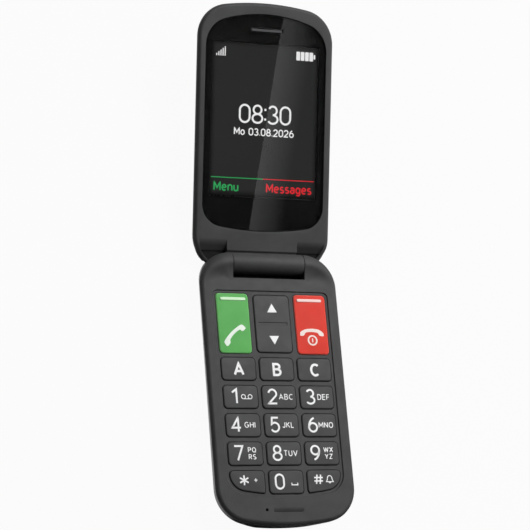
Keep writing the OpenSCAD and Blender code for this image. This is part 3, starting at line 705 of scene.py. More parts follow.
CAD_LOOKS = {
    steel: (
        "base_screws", "lid_screws", "hinge_pivot", "hinge_cartridge", "hinge_spring", "usb_socket",
        "sim_reader", "display_tray", "lid_magnet", "vibration_motor", "microphone", "earpiece",
    ),
    dark_mesh: ("earpiece_mesh",),
    brass: ("battery_contacts", "dome_switches"),
    cell_wrap: ("battery",),
    board_green: ("main_board", "lid_board"),
    flex_film: ("base_flex", "lid_flex"),
    mat_rubber: ("keypad_mat",),
    black_part: ("loudspeaker", "hall_sensor"),
    card_white: ("sim_card",),
    carrier: ("antenna",),
    mask_black: ("lens_adhesive",),
    panel: ("display_module",),
}
for material, names in CAD_LOOKS.items():
    for name in names:
        mesh = frame["nodes"][name].data
        mesh.materials.clear()
        mesh.materials.append(material)


# Lettering


def drawn(text):
    """Strokes from a text, with x,y for a point, x,y,rx,ry,start,stop for an arc and ; between strokes."""
    strokes = []
    for stroke in filter(None, text.split(";")):
        items = [[float(value) for value in item.split(",")] for item in stroke.split()]
        strokes.append(np.vstack([arc(*item, turn=12) if len(item) > 2 else item for item in items]))
    return strokes


BLANK_W = 0.25
MITRE_LEAST = 0.35  # limits how far a mitre reaches at a sharp bend
# Glyphs in a square of one unit, y up
GLYPHS = {letter: drawn(text) for letter, text in {
    "0": ".31,.69,.31,.31,0,180 .31,.31,.31,.31,180,360 .62,.69",
    "1": ".02,.77 .36,1 .36,0",
    "2": ".31,.7,.3,.3,168,-28 0,0 .63,0",
    "3": ".29,.75,.25,.25,155,-90; .29,.25,.31,.25,90,-152",
    "4": ".46,0 .46,1 0,.28 .64,.28",
    "5": ".57,1 .1,1 .05,.53 .29,.32,.31,.32,128,-150",
    "6": ".31,.31,.31,.31,0,360; .57,.31,.57,.7,180,105",
    "7": "0,1 .62,1 .22,0",
    "8": ".31,.755,.25,.245,0,360; .31,.255,.31,.255,0,360",
    "9": ".31,.69,.31,.31,0,360; .05,.69,.57,.7,0,-75",
    ":": "0,.16 0,.28; 0,.72 0,.84",
    ".": "0,0 0,.1",
    " ": "",
    "*": ".5,0 .5,1; .04,.25 .96,.75; .96,.25 .04,.75",
    "#": ".22,0 .36,1; .64,0 .78,1; 0,.68 1,.68; 0,.32 1,.32",
    "+": "0,.5 1,.5; .5,0 .5,1",
    "A": "0,0 .39,1 .78,0; .14,.32 .64,.32",
    "B": "0,.52 .3,.52 .33,.26,.28,.26,90,-90 0,0 0,1 .3,1 .3,.76,.24,.24,90,-90",
    "C": ".38,.5,.38,.5,48,312",
    "D": "0,0 0,1 .25,1 .25,.5,.4,.5,90,-90 0,0",
    "E": ".52,1 0,1 0,0 .52,0; 0,.52 .46,.52",
    "F": ".5,1 0,1 0,0; 0,.5 .44,.5",
    "G": ".38,.5,.38,.5,48,345 .75,.46 .42,.46",
    "H": "0,0 0,1; .62,0 .62,1; 0,.52 .62,.52",
    "I": "0,0 0,1",
    "J": ".42,1 .21,.22,.21,.22,0,-165",
    "K": "0,0 0,1; .58,1 0,.4; .2,.6 .62,0",
    "L": "0,1 0,0 .5,0",
    "M": "0,0 0,1 .4,.3 .8,1 .8,0",
    "N": "0,0 0,1 .62,0 .62,1",
    "O": ".38,.5,.38,.5,0,360",
    "P": "0,0 0,1 .3,1 .3,.73,.27,.27,90,-90 0,.46",
    "Q": ".38,.5,.38,.5,0,360; .48,.26 .78,-.06",
    "R": "0,0 0,1 .3,1 .3,.73,.27,.27,90,-90 0,.46; .3,.46 .6,0",
    "S": ".3,.745,.28,.255,40,270 .3,.25,.3,.25,90,-140",
    "T": "0,1 .64,1; .32,1 .32,0",
    "U": "0,1 .31,.3,.31,.3,180,360 .62,1",
    "V": "0,1 .36,0 .72,1",
    "W": "0,1 .26,0 .52,.9 .78,0 1.04,1",
    "X": "0,0 .66,1; 0,1 .66,0",
    "Y": "0,1 .34,.46 .68,1; .34,.46 .34,0",
    "Z": "0,1 .6,1 0,0 .6,0",
    "a": ".25,.48,.23,.22,155,0 .48,0; .24,.2,.24,.2,0,360",
    "e": ".02,.36 .54,.36 .28,.35,.26,.35,0,315",
    "g": ".26,.36,.26,.34,0,360; .52,.7 .28,-.04,.24,.22,0,-150",
    "n": "0,0 0,.7; .26,.42,.26,.28,180,0 .52,0",
    "o": ".28,.35,.28,.35,0,360",
    "s": ".22,.525,.2,.175,40,270 .22,.175,.22,.175,90,-140",
    "u": "0,.7 .26,.27,.26,.27,180,360 .52,.7; .52,.27 .52,0",
}.items()}


def word_strokes(text, x, y, size, pen, gap=0.3, wide=1.0):
    """Strokes of a word centred at a place, size tall over the ink, drawn with a pen of that width."""
    scale = size - pen
    strokes, at = [], 0.0
    for letter in text:
        shapes = GLYPHS[letter]
        width = max((s[:, 0].max() for s in shapes), default=BLANK_W)
        strokes += [s * (scale * wide, scale) + (at, 0) for s in shapes]
        at += width * scale * wide + pen + gap * size / 2
    total = at - pen - gap * size / 2
    return [(s + (x - total / 2, y - scale / 2), pen) for s in strokes]


def ribbon(points, pen):
    """Left and right edges of a pen stroke along points, mitred at its bends."""
    points = np.asarray(points, float)
    keep = np.append(np.linalg.norm(np.diff(points, axis=0), axis=1) > SAME, True)
    points = points[keep]
    loop = np.linalg.norm(points[0] - points[-1]) < SAME
    if loop:
        points = points[:-1]
        before, after = points - np.roll(points, 1, axis=0), np.roll(points, -1, axis=0) - points
    else:
        steps = np.diff(points, axis=0)
        before, after = np.vstack((steps[:1], steps)), np.vstack((steps, steps[-1:]))

    def side(v):
        v = v / np.linalg.norm(v, axis=1)[:, None]
        return np.column_stack((-v[:, 1], v[:, 0]))

    a, b = side(before), side(after)
    half = a + b
    half /= np.maximum((half * a).sum(1), MITRE_LEAST)[:, None]
    half *= pen / 2
    return points + half, points - half, loop


def dense(points, step=0.5):
    """The same run of points with more between them, none further apart than a step."""
    points = np.asarray(points, float)
    parts = [points[:1]]
    for a, b in zip(points[:-1], points[1:]):
        count = max(1, math.ceil(np.linalg.norm(b - a) / step))
        parts.append(a + (b - a) * np.linspace(0, 1, count + 1)[1:, None])
    return np.vstack(parts)


INK_LIFT = 0.015
INK_SINK = 0.05


def print_on(build, strokes, height, slot=0):
    """Adds pen strokes as thin ink that follows a surface."""
    for points, pen in strokes:
        left, right, loop = ribbon(dense(points), pen)
        n = len(left)
        flat = np.vstack((left, right))
        z = height(flat)
        solid = np.vstack([np.column_stack((flat, z + up)) for up in (INK_LIFT, -INK_SINK)])
        faces = []
        for i in range(n if loop else n - 1):
            j = (i + 1) % n
            faces += [(i, n + i, n + j, j), (2 * n + j, 3 * n + j, 3 * n + i, 2 * n + i)]
            faces += [(j, 2 * n + j, 2 * n + i, i), (n + i, 3 * n + i, 3 * n + j, n + j)]
        if not loop:
            faces += [(0, 2 * n, 3 * n, n), (2 * n - 1, 4 * n - 1, 3 * n - 1, n - 1)]
        build.add((solid, faces), slot)


def fill_on(build, loop, height, slot=0):
    """Adds a filled shape as thin ink that follows a surface."""
    build.add(relief(
        [loop], within(loop), lambda p: height(p) + INK_LIFT, lambda p: height(p) - INK_SINK, step=0.7,
    ), slot)


# Housings


def drawn_in(points, edge, reach):
    """Share of its x that each point keeps where the sides lean in, all of it from a depth on."""
    draw = np.interp(points[:, 1], SIDE_DRAW_Y, SIDE_DRAW)
    return 1 - draw / HALF_W * (1 - np.clip(depth_inside(points[:, :2], edge) / reach, 0, 1))


def back_rise(depth, draw, bend):
    """Share of its height that a back has reached at a depth in from its edge."""
    return (1 - (1 - np.clip(depth / draw, 0, 1)) ** 2) ** bend


def meet_at_stop(points, parting, way):
    """Slopes a back's hinge end, so that both backs meet where the lid stops."""
    near = between(points[:, 1], -way * STOP_REACH, 0)
    points[:, 1] += way * (points[:, 2] + parting) * STOP_SLOPE * near


def base_front():
    """Front shell with the hinge's knuckles, the keypad's openings and the marks on the chin."""
    edge = outline(BASE_FRONT_PLAN)
    recess = outline(RECESS_PLAN)
    far = 2 * BARREL_R
    slot = np.array(((-KNUCKLE_X, SLOT_Y), (KNUCKLE_X, SLOT_Y), (KNUCKLE_X, far), (-KNUCKLE_X, far)))
    cavity = outline(BASE_PLAN, WALL)
    chin_top = CHIN_SLOT[1] + CHIN_SLOT[3] / 2
    openings = [key_loops(name, KEY_GAP) for name in ALL_KEYS]
    shoulder_x, shoulder_y = HALF_W - SHOULDER_R, KNUCKLE_END - SHOULDER_R

    def ridge(p):
        """How far the hinge end's ridge has risen: full beside the barrel, none along the sides."""
        angle = np.degrees(np.arctan2(p[:, 1] - shoulder_y, np.abs(p[:, 0]) - shoulder_x))
        return between(angle, *RIDGE_ANGLES)

    def height(p):
        d = depth_inside(p, edge)
        rise = ridge(p)
        r = mix(BASE_EDGE_R, BARREL_R, rise)
        crest = mix(FRONT_Z, BARREL_R, rise)
        fade, past, high = mix(*RIDGE_FADE, rise), d - r, crest - FRONT_Z
        slope = 2 * high / (fade + RIDGE_BEND)
        bend = crest - slope * past ** 2 / (2 * RIDGE_BEND)
        left = np.clip(1 - (past - RIDGE_BEND) / fade, 0, 1)
        foot = FRONT_Z + (high - slope * RIDGE_BEND / 2) * left ** 2
        z = np.where(d < r, crest - round_drop(d, r), np.where(past < RIDGE_BEND, bend, foot))
        z = z - round_drop(-depth_inside(p, slot), SLOT_RIM)
        z = z - dent(p, recess, *RECESS_DENT)
        z = z - dent(p, pill(*MIC), *MIC_DENT)
        deep = CHIN_DEPTH * np.clip((chin_top - p[:, 1]) / CHIN_SLOT[3], 0, 1) ** 2
        return z - dent(p, pill(*CHIN_SLOT), deep, *CHIN_EDGE)

    def floor(p):
        knuckle = mix(PARTING_Z, round_drop(depth_inside(p, edge), BARREL_R) - BARREL_R, ridge(p))
        inner = (depth_inside(p, cavity) > 0) & (p[:, 1] < -INNER_TOP)
        return np.where(p[:, 1] > KNUCKLE_Y, knuckle, np.where(inner, PLATE_Z, PARTING_Z))

    def keep(p):
        kept = (depth_inside(p, edge) > 0) & ((np.abs(p[:, 0]) >= KNUCKLE_X) | (p[:, 1] <= SLOT_Y))
        for loops in openings:
            kept &= ~within(*loops)(p)
        return kept

    loops = [outline(BASE_FRONT_PLAN, d) for d in edge_steps(BASE_EDGE_R, 9) + RIDGE_STEPS]
    loops += [outline(RECESS_PLAN, d) for d in (-0.2, -0.1, 0, 0.08, 0.16)]
    loops += rings(pill, [MIC], (-0.1, -0.04, 0.02, 0.08))
    loops += rings(pill, [CHIN_SLOT], (-0.75, -0.5, -0.3, -0.15, -0.06, 0, 0.06))
    loops += [loop for pair in openings for loop in pair]
    loops += [outline(BASE_PLAN, WALL + d) for d in (-SHEER, SHEER)]
    lines = []
    for out in (SLOT_RIM * t for t in (0, 0.3, 0.6, 1)):
        x, y = KNUCKLE_X + out, SLOT_Y - out
        lines += [[(s * x, y), (s * x, BARREL_R)] for s in SIDES]
        lines.append(across(y, x))
    lines += [across(KNUCKLE_Y + d) for d in (SHEER, -SHEER)]
    lines += [across(d - INNER_TOP) for d in (-SHEER, SHEER)]
    # A finer grid over each knuckle, from a middle as far either way
    middle_x, reach, low_y, high_y, fine = 21.5, 7, -10, 5, 0.7
    spread = [grid((s * middle_x - reach, low_y), (s * middle_x + reach, high_y), fine) for s in SIDES]
    solid = relief(loops, keep, height, floor, step=2.6, lines=lines, spread=spread)
    low = solid[0][len(solid[0]) // 2:]
    low[:, 0] *= drawn_in(low, edge, WALL)
    middles = face_middles(solid)
    side = (depth_inside(middles[:, :2], edge) < SIDE_BAND[0]) & (middles[:, 2] < SIDE_BAND[1])
    build = Build(ON_BASE).add(solid, side & (middles[:, 1] < KNUCKLE_Y))
    build.piece("base_front", "base", [housing, housing_side], "housing", "base_front_housing")


def base_rear():
    """Rear shell, drawn from behind with its parting face as the floor, which is painted near black as
    painted shade for the gap under the barrel.
    """
    edge = outline(BASE_PLAN)
    port = round_box(*PORT_CUT)
    cover = (0, BAY_Y, *COVER_ROOM, COVER_CORNER)
    skin = 0.02

    def height(p):
        at_end = between(p[:, 1], *END_BLEND) * (1 - between(np.abs(p[:, 0]), *END_SPAN))
        draw, bend = mix(BACK_DRAW, END_DRAW, at_end), mix(BACK_BEND, END_BEND, at_end)
        z = -PARTING_Z + (PARTING_Z - BACK_Z) * back_rise(depth_inside(p, edge), draw, bend)
        z = np.where(depth_inside(p, port) > 0, skin - PARTING_Z, z)
        z = z - dent(p, round_box(*cover), *COVER_DENT)
        return z - dents(p, WELLS, WELL_DENT) - dents(p, GRILLE, GRILLE_DENT)

    def keep(p):
        return (depth_inside(p, edge) > 0) & (p[:, 1] < BASE_REAR_TOP)

    loops = [outline(BASE_PLAN, BACK_DRAW * t) for t in BACK_STEPS]
    loops += rings(round_box, [PORT_CUT], (-0.02, 0.02))
    loops += rings(round_box, [cover], (-0.04, 0, 0.05, 0.1))
    loops += rings(pill, WELLS, (-0.06, 0.02, 0.08, 0.14))
    loops += rings(pill, GRILLE, (-0.06, 0, 0.05, 0.1))
    solid = relief(loops, keep, height, level(-PARTING_Z), step=3.5, lines=[across(BASE_REAR_TOP)])
    solid[0][:, 0] *= drawn_in(solid[0], edge, BACK_DRAW)
    meet_at_stop(solid[0], PARTING_Z, 1)
    # Its floor faces take the near-black painted shade
    build = Build(ON_BASE @ TURN_OVER).add(solid, on_floor(solid))
    build.piece("base_rear", "base", [housing_side, inside_painted_shade], "rear_shell", "base_rear_housing")


def battery_cover():
    plan = (0, BAY_Y, *COVER_SIZE, COVER_CORNER)
    edge = round_box(*plan)

    def height(p):
        return -BACK_Z - round_drop(depth_inside(p, edge), COVER_EDGE_R) - dents(p, GRIPS, GRIP_DENT)

    loops = rings(round_box, [plan], (0, -0.03, -0.09, -0.18, -COVER_EDGE_R))
    loops += rings(pill, GRIPS, (-0.25, -0.1, 0.05, 0.2))
    build = Build(ON_BASE @ TURN_OVER)
    build.add(relief(loops, within(edge), height, level(-BACK_Z - COVER_T), step=4))
    build.piece("battery_cover_shell", "base", [housing_side], "rear_shell", "battery_cover")


def roll_drop(y):
    """How far the lid's face has rolled off towards the hinge, round at first and then straight."""
    past = np.clip(ROLL_START - y, 0, ROLL_REACH)
    bend = ROLL_R * math.sin(ROLL_ANGLE)
    around = ROLL_R - np.sqrt(ROLL_R ** 2 - np.minimum(past, bend) ** 2)
    return around + np.maximum(past - bend, 0) * math.tan(ROLL_ANGLE)


def lid_front():
    """Front shell with the lens's seat, the hinge's barrel and the slopes beside it."""
    edge = outline(LID_PLAN)
    lens_hole = outline(LENS_PLAN, -LENS_GAP)
    window = round_box(*PICTURE[:2], *(side + 2 * WINDOW_MARGIN for side in PICTURE[2:]), WINDOW_CORNER)
    ear = pill(*EAR_SLOT, -EAR_LEDGE)
    straight = LID_FRONT - LID_PARTING - ROLL_R * (1 - math.cos(ROLL_ANGLE))
    roll_end = ROLL_START - ROLL_R * math.sin(ROLL_ANGLE) - straight / math.tan(ROLL_ANGLE)
    step = 0.1

    def height(p):
        x, y = np.abs(p[:, 0]), p[:, 1]
        d = depth_inside(p, edge)
        rolled = between(d, ROLL_RIM, ROLL_RIM + ROLL_RIM_FADE)
        rolled = rolled * between(x, BARREL_HALF - step, BARREL_HALF + step)
        rim = (1 - rolled) * (x > BARREL_HALF) * ROLL_RIM_DROP * between(y, *ROLL_RIM_FALL)
        crease = smooth((CREASE_Y[1] - y) / CREASE_EDGE) - smooth((CREASE_Y[0] - y) / CREASE_EDGE)
        z = LID_FRONT - round_drop(d, LID_EDGE_R) - roll_drop(y) * rolled - rim
        z = z - (x <= BARREL_HALF) * CREASE_DEPTH * crease
        return mix(z, LENS_SEAT, dent(p, lens_hole, 1, *SEAT_EDGE))

    def keep(p):
        x, y = np.abs(p[:, 0]), p[:, 1]
        d = depth_inside(p, edge)
        inside = (d > 0) & (depth_inside(p, window) < 0) & (depth_inside(p, ear) < 0)
        neck = (x < BARREL_HALF) & (y > 0)
        strip = (x > BARREL_HALF) & ((y > roll_end) | (d < ROLL_RIM) & (y > 0))
        return inside & (neck | strip)

    rims = [ROLL_RIM + d for d in (0, 0.1, 0.22, ROLL_RIM_FADE)]
    loops = [outline(LID_PLAN, d) for d in edge_steps(LID_EDGE_R, 10) + rims]
    loops += [outline(LENS_PLAN, d - LENS_GAP) for d in (-0.12, -0.06, 0, 0.04)]
    loops += [window, ear]
    falls = (0, 0.4, 0.8, 1.2, 1.6, 2, 2.4, 2.8, 3.2, 3.7, ROLL_START - roll_end)
    lines = [across(0)] + [across(ROLL_START - fall) for fall in falls]
    lines += [across(y - CREASE_EDGE * t, BARREL_HALF) for y in CREASE_Y for t in (0, 0.25, 0.5, 0.75, 1)]
    for x in (s * (BARREL_HALF + d) for s in SIDES for d in (-step, 0, step / 2, step)):
        lines.append([(x, 0), (x, ROLL_START + 1)])
    solid = relief(loops, keep, height, level(LID_PARTING), lines=lines)
    turns = [math.radians(a) for a in (0, 22, 45, 68, 90)]
    end = [(BARREL_EDGE_R * (1 - math.cos(a)), BARREL_R - BARREL_EDGE_R * (1 - math.sin(a))) for a in turns]
    profile = [(t - BARREL_HALF, r) for t, r in end] + [(BARREL_HALF - t, r) for t, r in reversed(end)]
    barrel, sides = lathe(profile)
    barrel = barrel + (0, BARREL_SHIFT * math.cos(LID_TILT), -BARREL_SHIFT * math.sin(LID_TILT))
    build = Build(ON_LID).add(solid).add((barrel, sides))
    build.piece("lid_front", "lid", [housing], "housing", "lid_front_housing")


def lid_rear():
    """Rear shell, drawn from behind, with painted shade on the floor of the slopes beside the barrel."""
    edge = outline(LID_PLAN)
    tall = LID_PARTING - LID_BACK - LID_CROWN

    def height(p):
        depth = depth_inside(p, edge)
        z = -LID_PARTING + tall * back_rise(depth, LID_BACK_DRAW, LID_BACK_BEND)
        return z + LID_CROWN * smooth(depth / LID_CROWN_REACH)

    def floor(p):
        in_roll = (np.abs(p[:, 0]) > BARREL_HALF) & (depth_inside(p, edge) > ROLL_RIM)
        return np.where(in_roll, np.maximum(-LID_PARTING, roll_drop(p[:, 1]) - LID_FRONT), -LID_PARTING)

    def keep(p):
        return (depth_inside(p, edge) > 0) & (p[:, 1] > LID_REAR_LOW)

    depths = [LID_BACK_DRAW * t for t in BACK_STEPS] + [7, 10, 14, 19, ROLL_RIM - SHEER, ROLL_RIM + SHEER]
    loops = [outline(LID_PLAN, d) for d in depths]
    lines = [across(y) for y in (LID_REAR_LOW, 0, 1, 2, 3, ROLL_START - ROLL_REACH, 4, HEEL_Y)]
    for x in (s * (BARREL_HALF + d) for s in SIDES for d in (-SHEER, SHEER)):
        lines.append([(x, LID_REAR_LOW), (x, 5)])
    solid = relief(loops, keep, height, floor, step=3.5, lines=lines)
    meet_at_stop(solid[0], LID_PARTING, -1)
    # Floor faces nearer the hinge take the dark grey painted shade
    painted_shade_heel = face_middles(solid)[:, 1] < HEEL_Y
    build = Build(ON_LID @ TURN_OVER).add(solid, painted_shade_heel & on_floor(solid))
    build.piece("lid_rear", "lid", [rear_shell, recess_painted_shade], "rear_shell", "lid_rear_housing")


def hinge_shaft():
    """Turned shaft inside the barrel, with its collar and a head that is pressed into the right knuckle."""
    start = (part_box("hinge_shaft")[0][0] - HINGE.x) / MM
    head = KNUCKLE_X + HEAD_GAP
    profile = [
        (start, SHAFT_R - SHAFT_BEVEL), (start + SHAFT_BEVEL, SHAFT_R),
        (COLLAR[0], SHAFT_R), (COLLAR[0], COLLAR_R), (COLLAR[1], COLLAR_R), (COLLAR[1], SHAFT_R),
        (head, SHAFT_R), (head, HEAD_R - SHAFT_BEVEL), (head + SHAFT_BEVEL, HEAD_R),
        (SHAFT_END - HEAD_BEVEL, HEAD_R), (SHAFT_END, HEAD_R - HEAD_BEVEL),
    ]
    Build(ON_BASE).add(lathe(profile)).piece("shaft", "base", [steel], "steel", "hinge_shaft")


def usb_socket():
    """Metal sleeve with its tongue, drawn along the way in from the right side."""
    inwards = Matrix(((0, 0, 1, 0), (1, 0, 0, 0), (0, 1, 0, 0), (0, 0, 0, 1)))
    sleeve = pill(PORT_Y, PORT_Z, *PORT_SIZE)
    bore = pill(PORT_Y, PORT_Z, *PORT_SIZE, -PORT_WALL)
    mouth, end = PORT_X + PORT_PROUD, PORT_X - PORT_DEPTH
    tongue_start = end + PORT_BACK_T

    def keep(p):
        return (depth_inside(p, sleeve) > 0) & (depth_inside(p, bore) < 0)

    build = Build(ON_BASE @ inwards)
    build.add(relief([sleeve, bore], keep, level(mouth), level(end), step=9))
    build.add(prism(bore, end, tongue_start))
    build.add(prism(round_box(PORT_Y, PORT_Z, *TONGUE), tongue_start, mouth - TONGUE_BACK), 1)
    build.piece("usb_sleeve", "base", [steel, black_part], "steel", "usb_socket")


def lens():
    """Clear plate over the screen, with a dark edge and the earpiece's slot."""
    edge = outline(LENS_PLAN)
    ear = pill(*EAR_SLOT)

    def depth(p):
        return np.minimum(depth_inside(p, edge), -depth_inside(p, ear))

    def height(p):
        return LENS_TOP - round_drop(depth(p), LENS_EDGE_R)

    steps = (0, 0.01, 0.04, 0.08, LENS_EDGE_R)
    loops = [outline(LENS_PLAN, d) for d in steps] + rings(pill, [EAR_SLOT], steps)
    solid = relief(loops, lambda p: depth(p) > 0, height, level(LENS_LOW), step=6)
    build = Build(ON_LID).add(solid, depth(face_middles(solid)[:, :2]) < LENS_EDGE_R)
    build.piece("lens", "lid", [lens_clear, mask_black], "lens", "display_lens")


# Keys


CALL_SIDES = {"call": -1, "end": 1}


def key_place(name):
    """Middle and size of a key, and whether the keypad's lower arc trims it."""
    if name == "rocker":
        return (0, CALL_Y), ROCKER_SIZE, False
    if name in CALL_SIDES:
        return (CALL_SIDES[name] * CALL_X, CALL_Y), CALL_SIZE, False
    row = next(i for i, names in enumerate(KEY_ROWS) if name in names)
    column = KEY_ROWS[row].index(name)
    return ((column - 1) * COLUMN_PITCH, ROW_Y0 - row * ROW_PITCH), KEY_SIZE, row == LAST_ROW


def key_loops(name, grow=0.0):
    """Loops whose common inside is the key's shape, spread outwards by grow."""
    middle, size, trimmed = key_place(name)
    loops = [round_box(*middle, *size, KEY_CORNER_R, grow)]
    if trimmed:
        loops.append(outline(RECESS_PLAN, KEY_MARGIN - grow))
    return loops


DIGIT_AT = (-2.75, 0.2)
DIGIT_SIZE, DIGIT_PEN = 6.05, 0.74
LETTERS_AT = (2.65, 0.1)
LETTER_SIZE, PAIR_SIZE, PAIR_PITCH = 2.25, 2.0, 2.6
LETTER_PEN, LETTER_WIDE = 0.32, 1.06
LETTER_GROUPS = {
    "2": "ABC", "3": "DEF", "4": "GHI", "5": "JKL", "6": "MNO", "7": "PQ RS", "8": "TUV", "9": "WX YZ",
}
# Large marks: text, place from the key's middle, size, pen and width
KEY_MARKS = {name: [(name.upper(), 0, -0.15, 5.1, 0.92, LETTER_WIDE)] for name in "abc"}
KEY_MARKS["star"] = [("*", -1.5, 0.8, 4.3, 0.62, 1), ("+", 3.2, 0.8, 1.7, 0.34, 1)]
KEY_MARKS["hash"] = [("#", -2.4, 0.9, 4.1, 0.56, 1)]
# Signs, from the key's middle, each with its pen: two reels, a space bar, a bell and a power sign
KEY_SIGNS = {
    "1": [(".95,.05,.8,.8,0,360; 3.65,.05,.8,.8,0,360; .95,-.75 3.65,-.75", LETTER_PEN)],
    "0": [("2.1,-.3 2.1,-1.1 4.5,-1.1 4.5,-.3", 0.38)],
    "hash": [
        (".75,-.05 2.2,1.15,.95,1.1,190,-10 3.65,-.05 .75,-.05", 0.34),
        ("2.2,-.1,.4,.42,180,360", 0.3),
    ],
    "end": [("-.1,-6.15,1.75,1.75,0,360", 0.62), ("-.1,-5.4 -.1,-6.9", 0.5)],
}


def key_legend(name, middle):
    """Pen strokes of the print on a key."""
    words = list(KEY_MARKS.get(name, ()))
    if name.isdigit():
        words.append((name, *DIGIT_AT, DIGIT_SIZE, DIGIT_PEN, 1))
    groups = LETTER_GROUPS.get(name, "").split()
    letter_size = LETTER_SIZE if len(groups) == 1 else PAIR_SIZE
    for i, word in enumerate(groups):
        rise = ((len(groups) - 1) / 2 - i) * PAIR_PITCH
        words.append((word, LETTERS_AT[0], LETTERS_AT[1] + rise, letter_size, LETTER_PEN, LETTER_WIDE))
    strokes = [(points + middle, pen) for sign, pen in KEY_SIGNS.get(name, ()) for points in drawn(sign)]
    for text, x, y, size, pen, wide in words:
        strokes += word_strokes(text, middle[0] + x, middle[1] + y, size, pen, wide=wide)
    return strokes


# Outlines of the lifted handset and of the laid-down one
LIFTED = (
    (-11.2, -26.6), (-12.7, -25.1), (-13.9, -25.4), (-17.4, -28.0), (-20.0, -30.9), (-20.7, -32.2),
    (-19.5, -33.9), (-18.0, -32.4), (-18.2, -31.0), (-16.1, -28.6), (-13.8, -27.0), (-12.9, -27.9),
)
LAID = (
    (10.8, -29.1), (11.1, -27.5), (13.1, -26.5), (16.0, -26.2), (18.9, -26.5), (20.8, -27.8), (20.9, -29.2),
    (18.9, -29.0), (18.4, -27.8), (15.9, -27.5), (13.2, -27.7), (12.5, -29.1),
)


def softened(loop, rounds=2, cut=0.2):
    """A loop with its corners cut again and again, so that they turn round."""
    loop = np.array(loop, float)
    for _ in range(rounds):
        after = np.roll(loop, -1, axis=0)
        loop = np.stack((mix(loop, after, cut), mix(after, loop, cut)), axis=1).reshape(-1, 2)
    return loop


KEY_FILLS = {
    "call": [softened(LIFTED)],
    "end": [softened(LAID)],
    "rocker": [
        np.array(((-2.0, -20.2), (2.0, -20.2), (0, -16.8))),
        np.array(((2.0, -29.35), (-2.0, -29.35), (0, -32.7))),
    ],
}
# Slot and materials of a key, the materials in the order of these indices
# The last slot holds a key's rounded edge, painted paler on the call and end keys as a painted highlight
CAP, INK, BAR, HIGHLIGHT_RIM = range(4)
PLAIN_KEY = ("key_plastic", key_grey, print_white)
TINTED_KEYS = {
    "call": ("key_green", key_green, print_green, pale_green, green_painted_highlight),
    "end": ("key_red", key_red, print_red, pale_red, red_painted_highlight),
}


def raised_bar(*plan):
    """Bar with a rounded top that stands on a key."""
    edge = pill(*plan)
    loops = rings(pill, [plan], (0, -0.03, -0.08, -0.15, -CALL_BAR_R))

    def height(p):
        return FRONT_Z + CALL_BAR_RISE - round_drop(depth_inside(p, edge), CALL_BAR_R)

    return relief(loops, within(edge), height, level(FRONT_Z - CALL_BAR_SINK))


def make_key(name):
    """Key with its cap, flange and print, and on the call and end keys a pale bar and a rim painted paler
    as a painted highlight.
    """
    loops = key_loops(name)
    slot, *materials = TINTED_KEYS.get(name, PLAIN_KEY)

    def depth(p):
        return np.min([depth_inside(p, loop) for loop in loops], axis=0)

    def height(p):
        d = depth(p)
        z = FRONT_Z - round_drop(d, KEY_EDGE_R) - KEY_CROWN * (1 - smooth(d / KEY_CROWN_REACH))
        if name == "rocker":
            z = z - dent(p, round_box(*ROCKER_GROOVE), *GROOVE_DENT)
        return z

    insets = (0, 0.02, 0.08, 0.18, 0.3, 0.42, KEY_EDGE_R, 1.2, 2, 3)
    steps = [loop for d in insets for loop in key_loops(name, -d)]
    if name == "rocker":
        steps += rings(round_box, [ROCKER_GROOVE], (-0.2, -0.1, 0, 0.1))
    cap = relief(steps, within(*loops), height, level(FLANGE_Z), step=2.2)
    # Faces near a call or end key's edge take the paler painted highlight
    rim = depth(face_middles(cap)[:, :2]) < HIGHLIGHT_EDGE_DEPTH
    build = Build(ON_BASE).add(cap, np.where(rim & (name in TINTED_KEYS), HIGHLIGHT_RIM, CAP))
    if name == "rocker":
        build.add(prism(round_box(*ROCKER_AXLE), FLANGE_Z, FLANGE_Z + ROCKER_AXLE_T))
    else:
        wide = key_loops(name, FLANGE_W)
        build.add(relief(wide, within(*wide), level(FLANGE_Z + FLANGE_T), level(FLANGE_Z), step=5))
    for loop in KEY_FILLS.get(name, ()):
        fill_on(build, loop, height, INK)
    print_on(build, key_legend(name, key_place(name)[0]), height, INK)
    if name in TINTED_KEYS:
        build.add(raised_bar(CALL_SIDES[name] * CALL_BAR[0], *CALL_BAR[1:]), BAR)
    body = "rocker" if name == "rocker" else name + "_key"
    build.piece("keycap_" + name, body, materials, slot, "key_" + name)


# Screen


# Words as text, place, size, pen and gap, then the signal's bars and the battery's cells
SCREEN_WORDS = (("08:30", 0.3, 56.9, 7.4, 0.78, 0.12), ("Mo 03.08.2026", 0, 50.05, 2.95, 0.46, 0.16))
SIGNAL_BARS, SIGNAL_AT, SIGNAL_PITCH = 5, (-20.4, 78.4), 0.86
SIGNAL_W, SIGNAL_H, SIGNAL_RISE, SIGNAL_CORNER = 0.42, 0.9, 0.68, 0.05
CELLS, CELL_AT, CELL_PITCH, CELL_SIZE = 4, (13.7, 80.4), 1.85, (1.55, 3.4, 0.3)
CELL_CAP = (20.6, 80.4, 0.7, 1.7, 0.2)
# Words at the screen's foot, each under a line: piece, material, text, middle, and the line's ends
FOOT_WORDS = (
    ("screen_left", glow_green, "Menu", -15.3, -21.6, 0),
    ("screen_right", glow_red, "Messages", 11.0, 0, 21.6),
)
FOOT_Y, FOOT_SIZE, FOOT_PEN, FOOT_GAP = 28.7, 3.6, 0.56, 0.16
FOOT_LINE_Y, FOOT_LINE_PEN = 32.1, 0.32
MARK_LIFT = 0.02


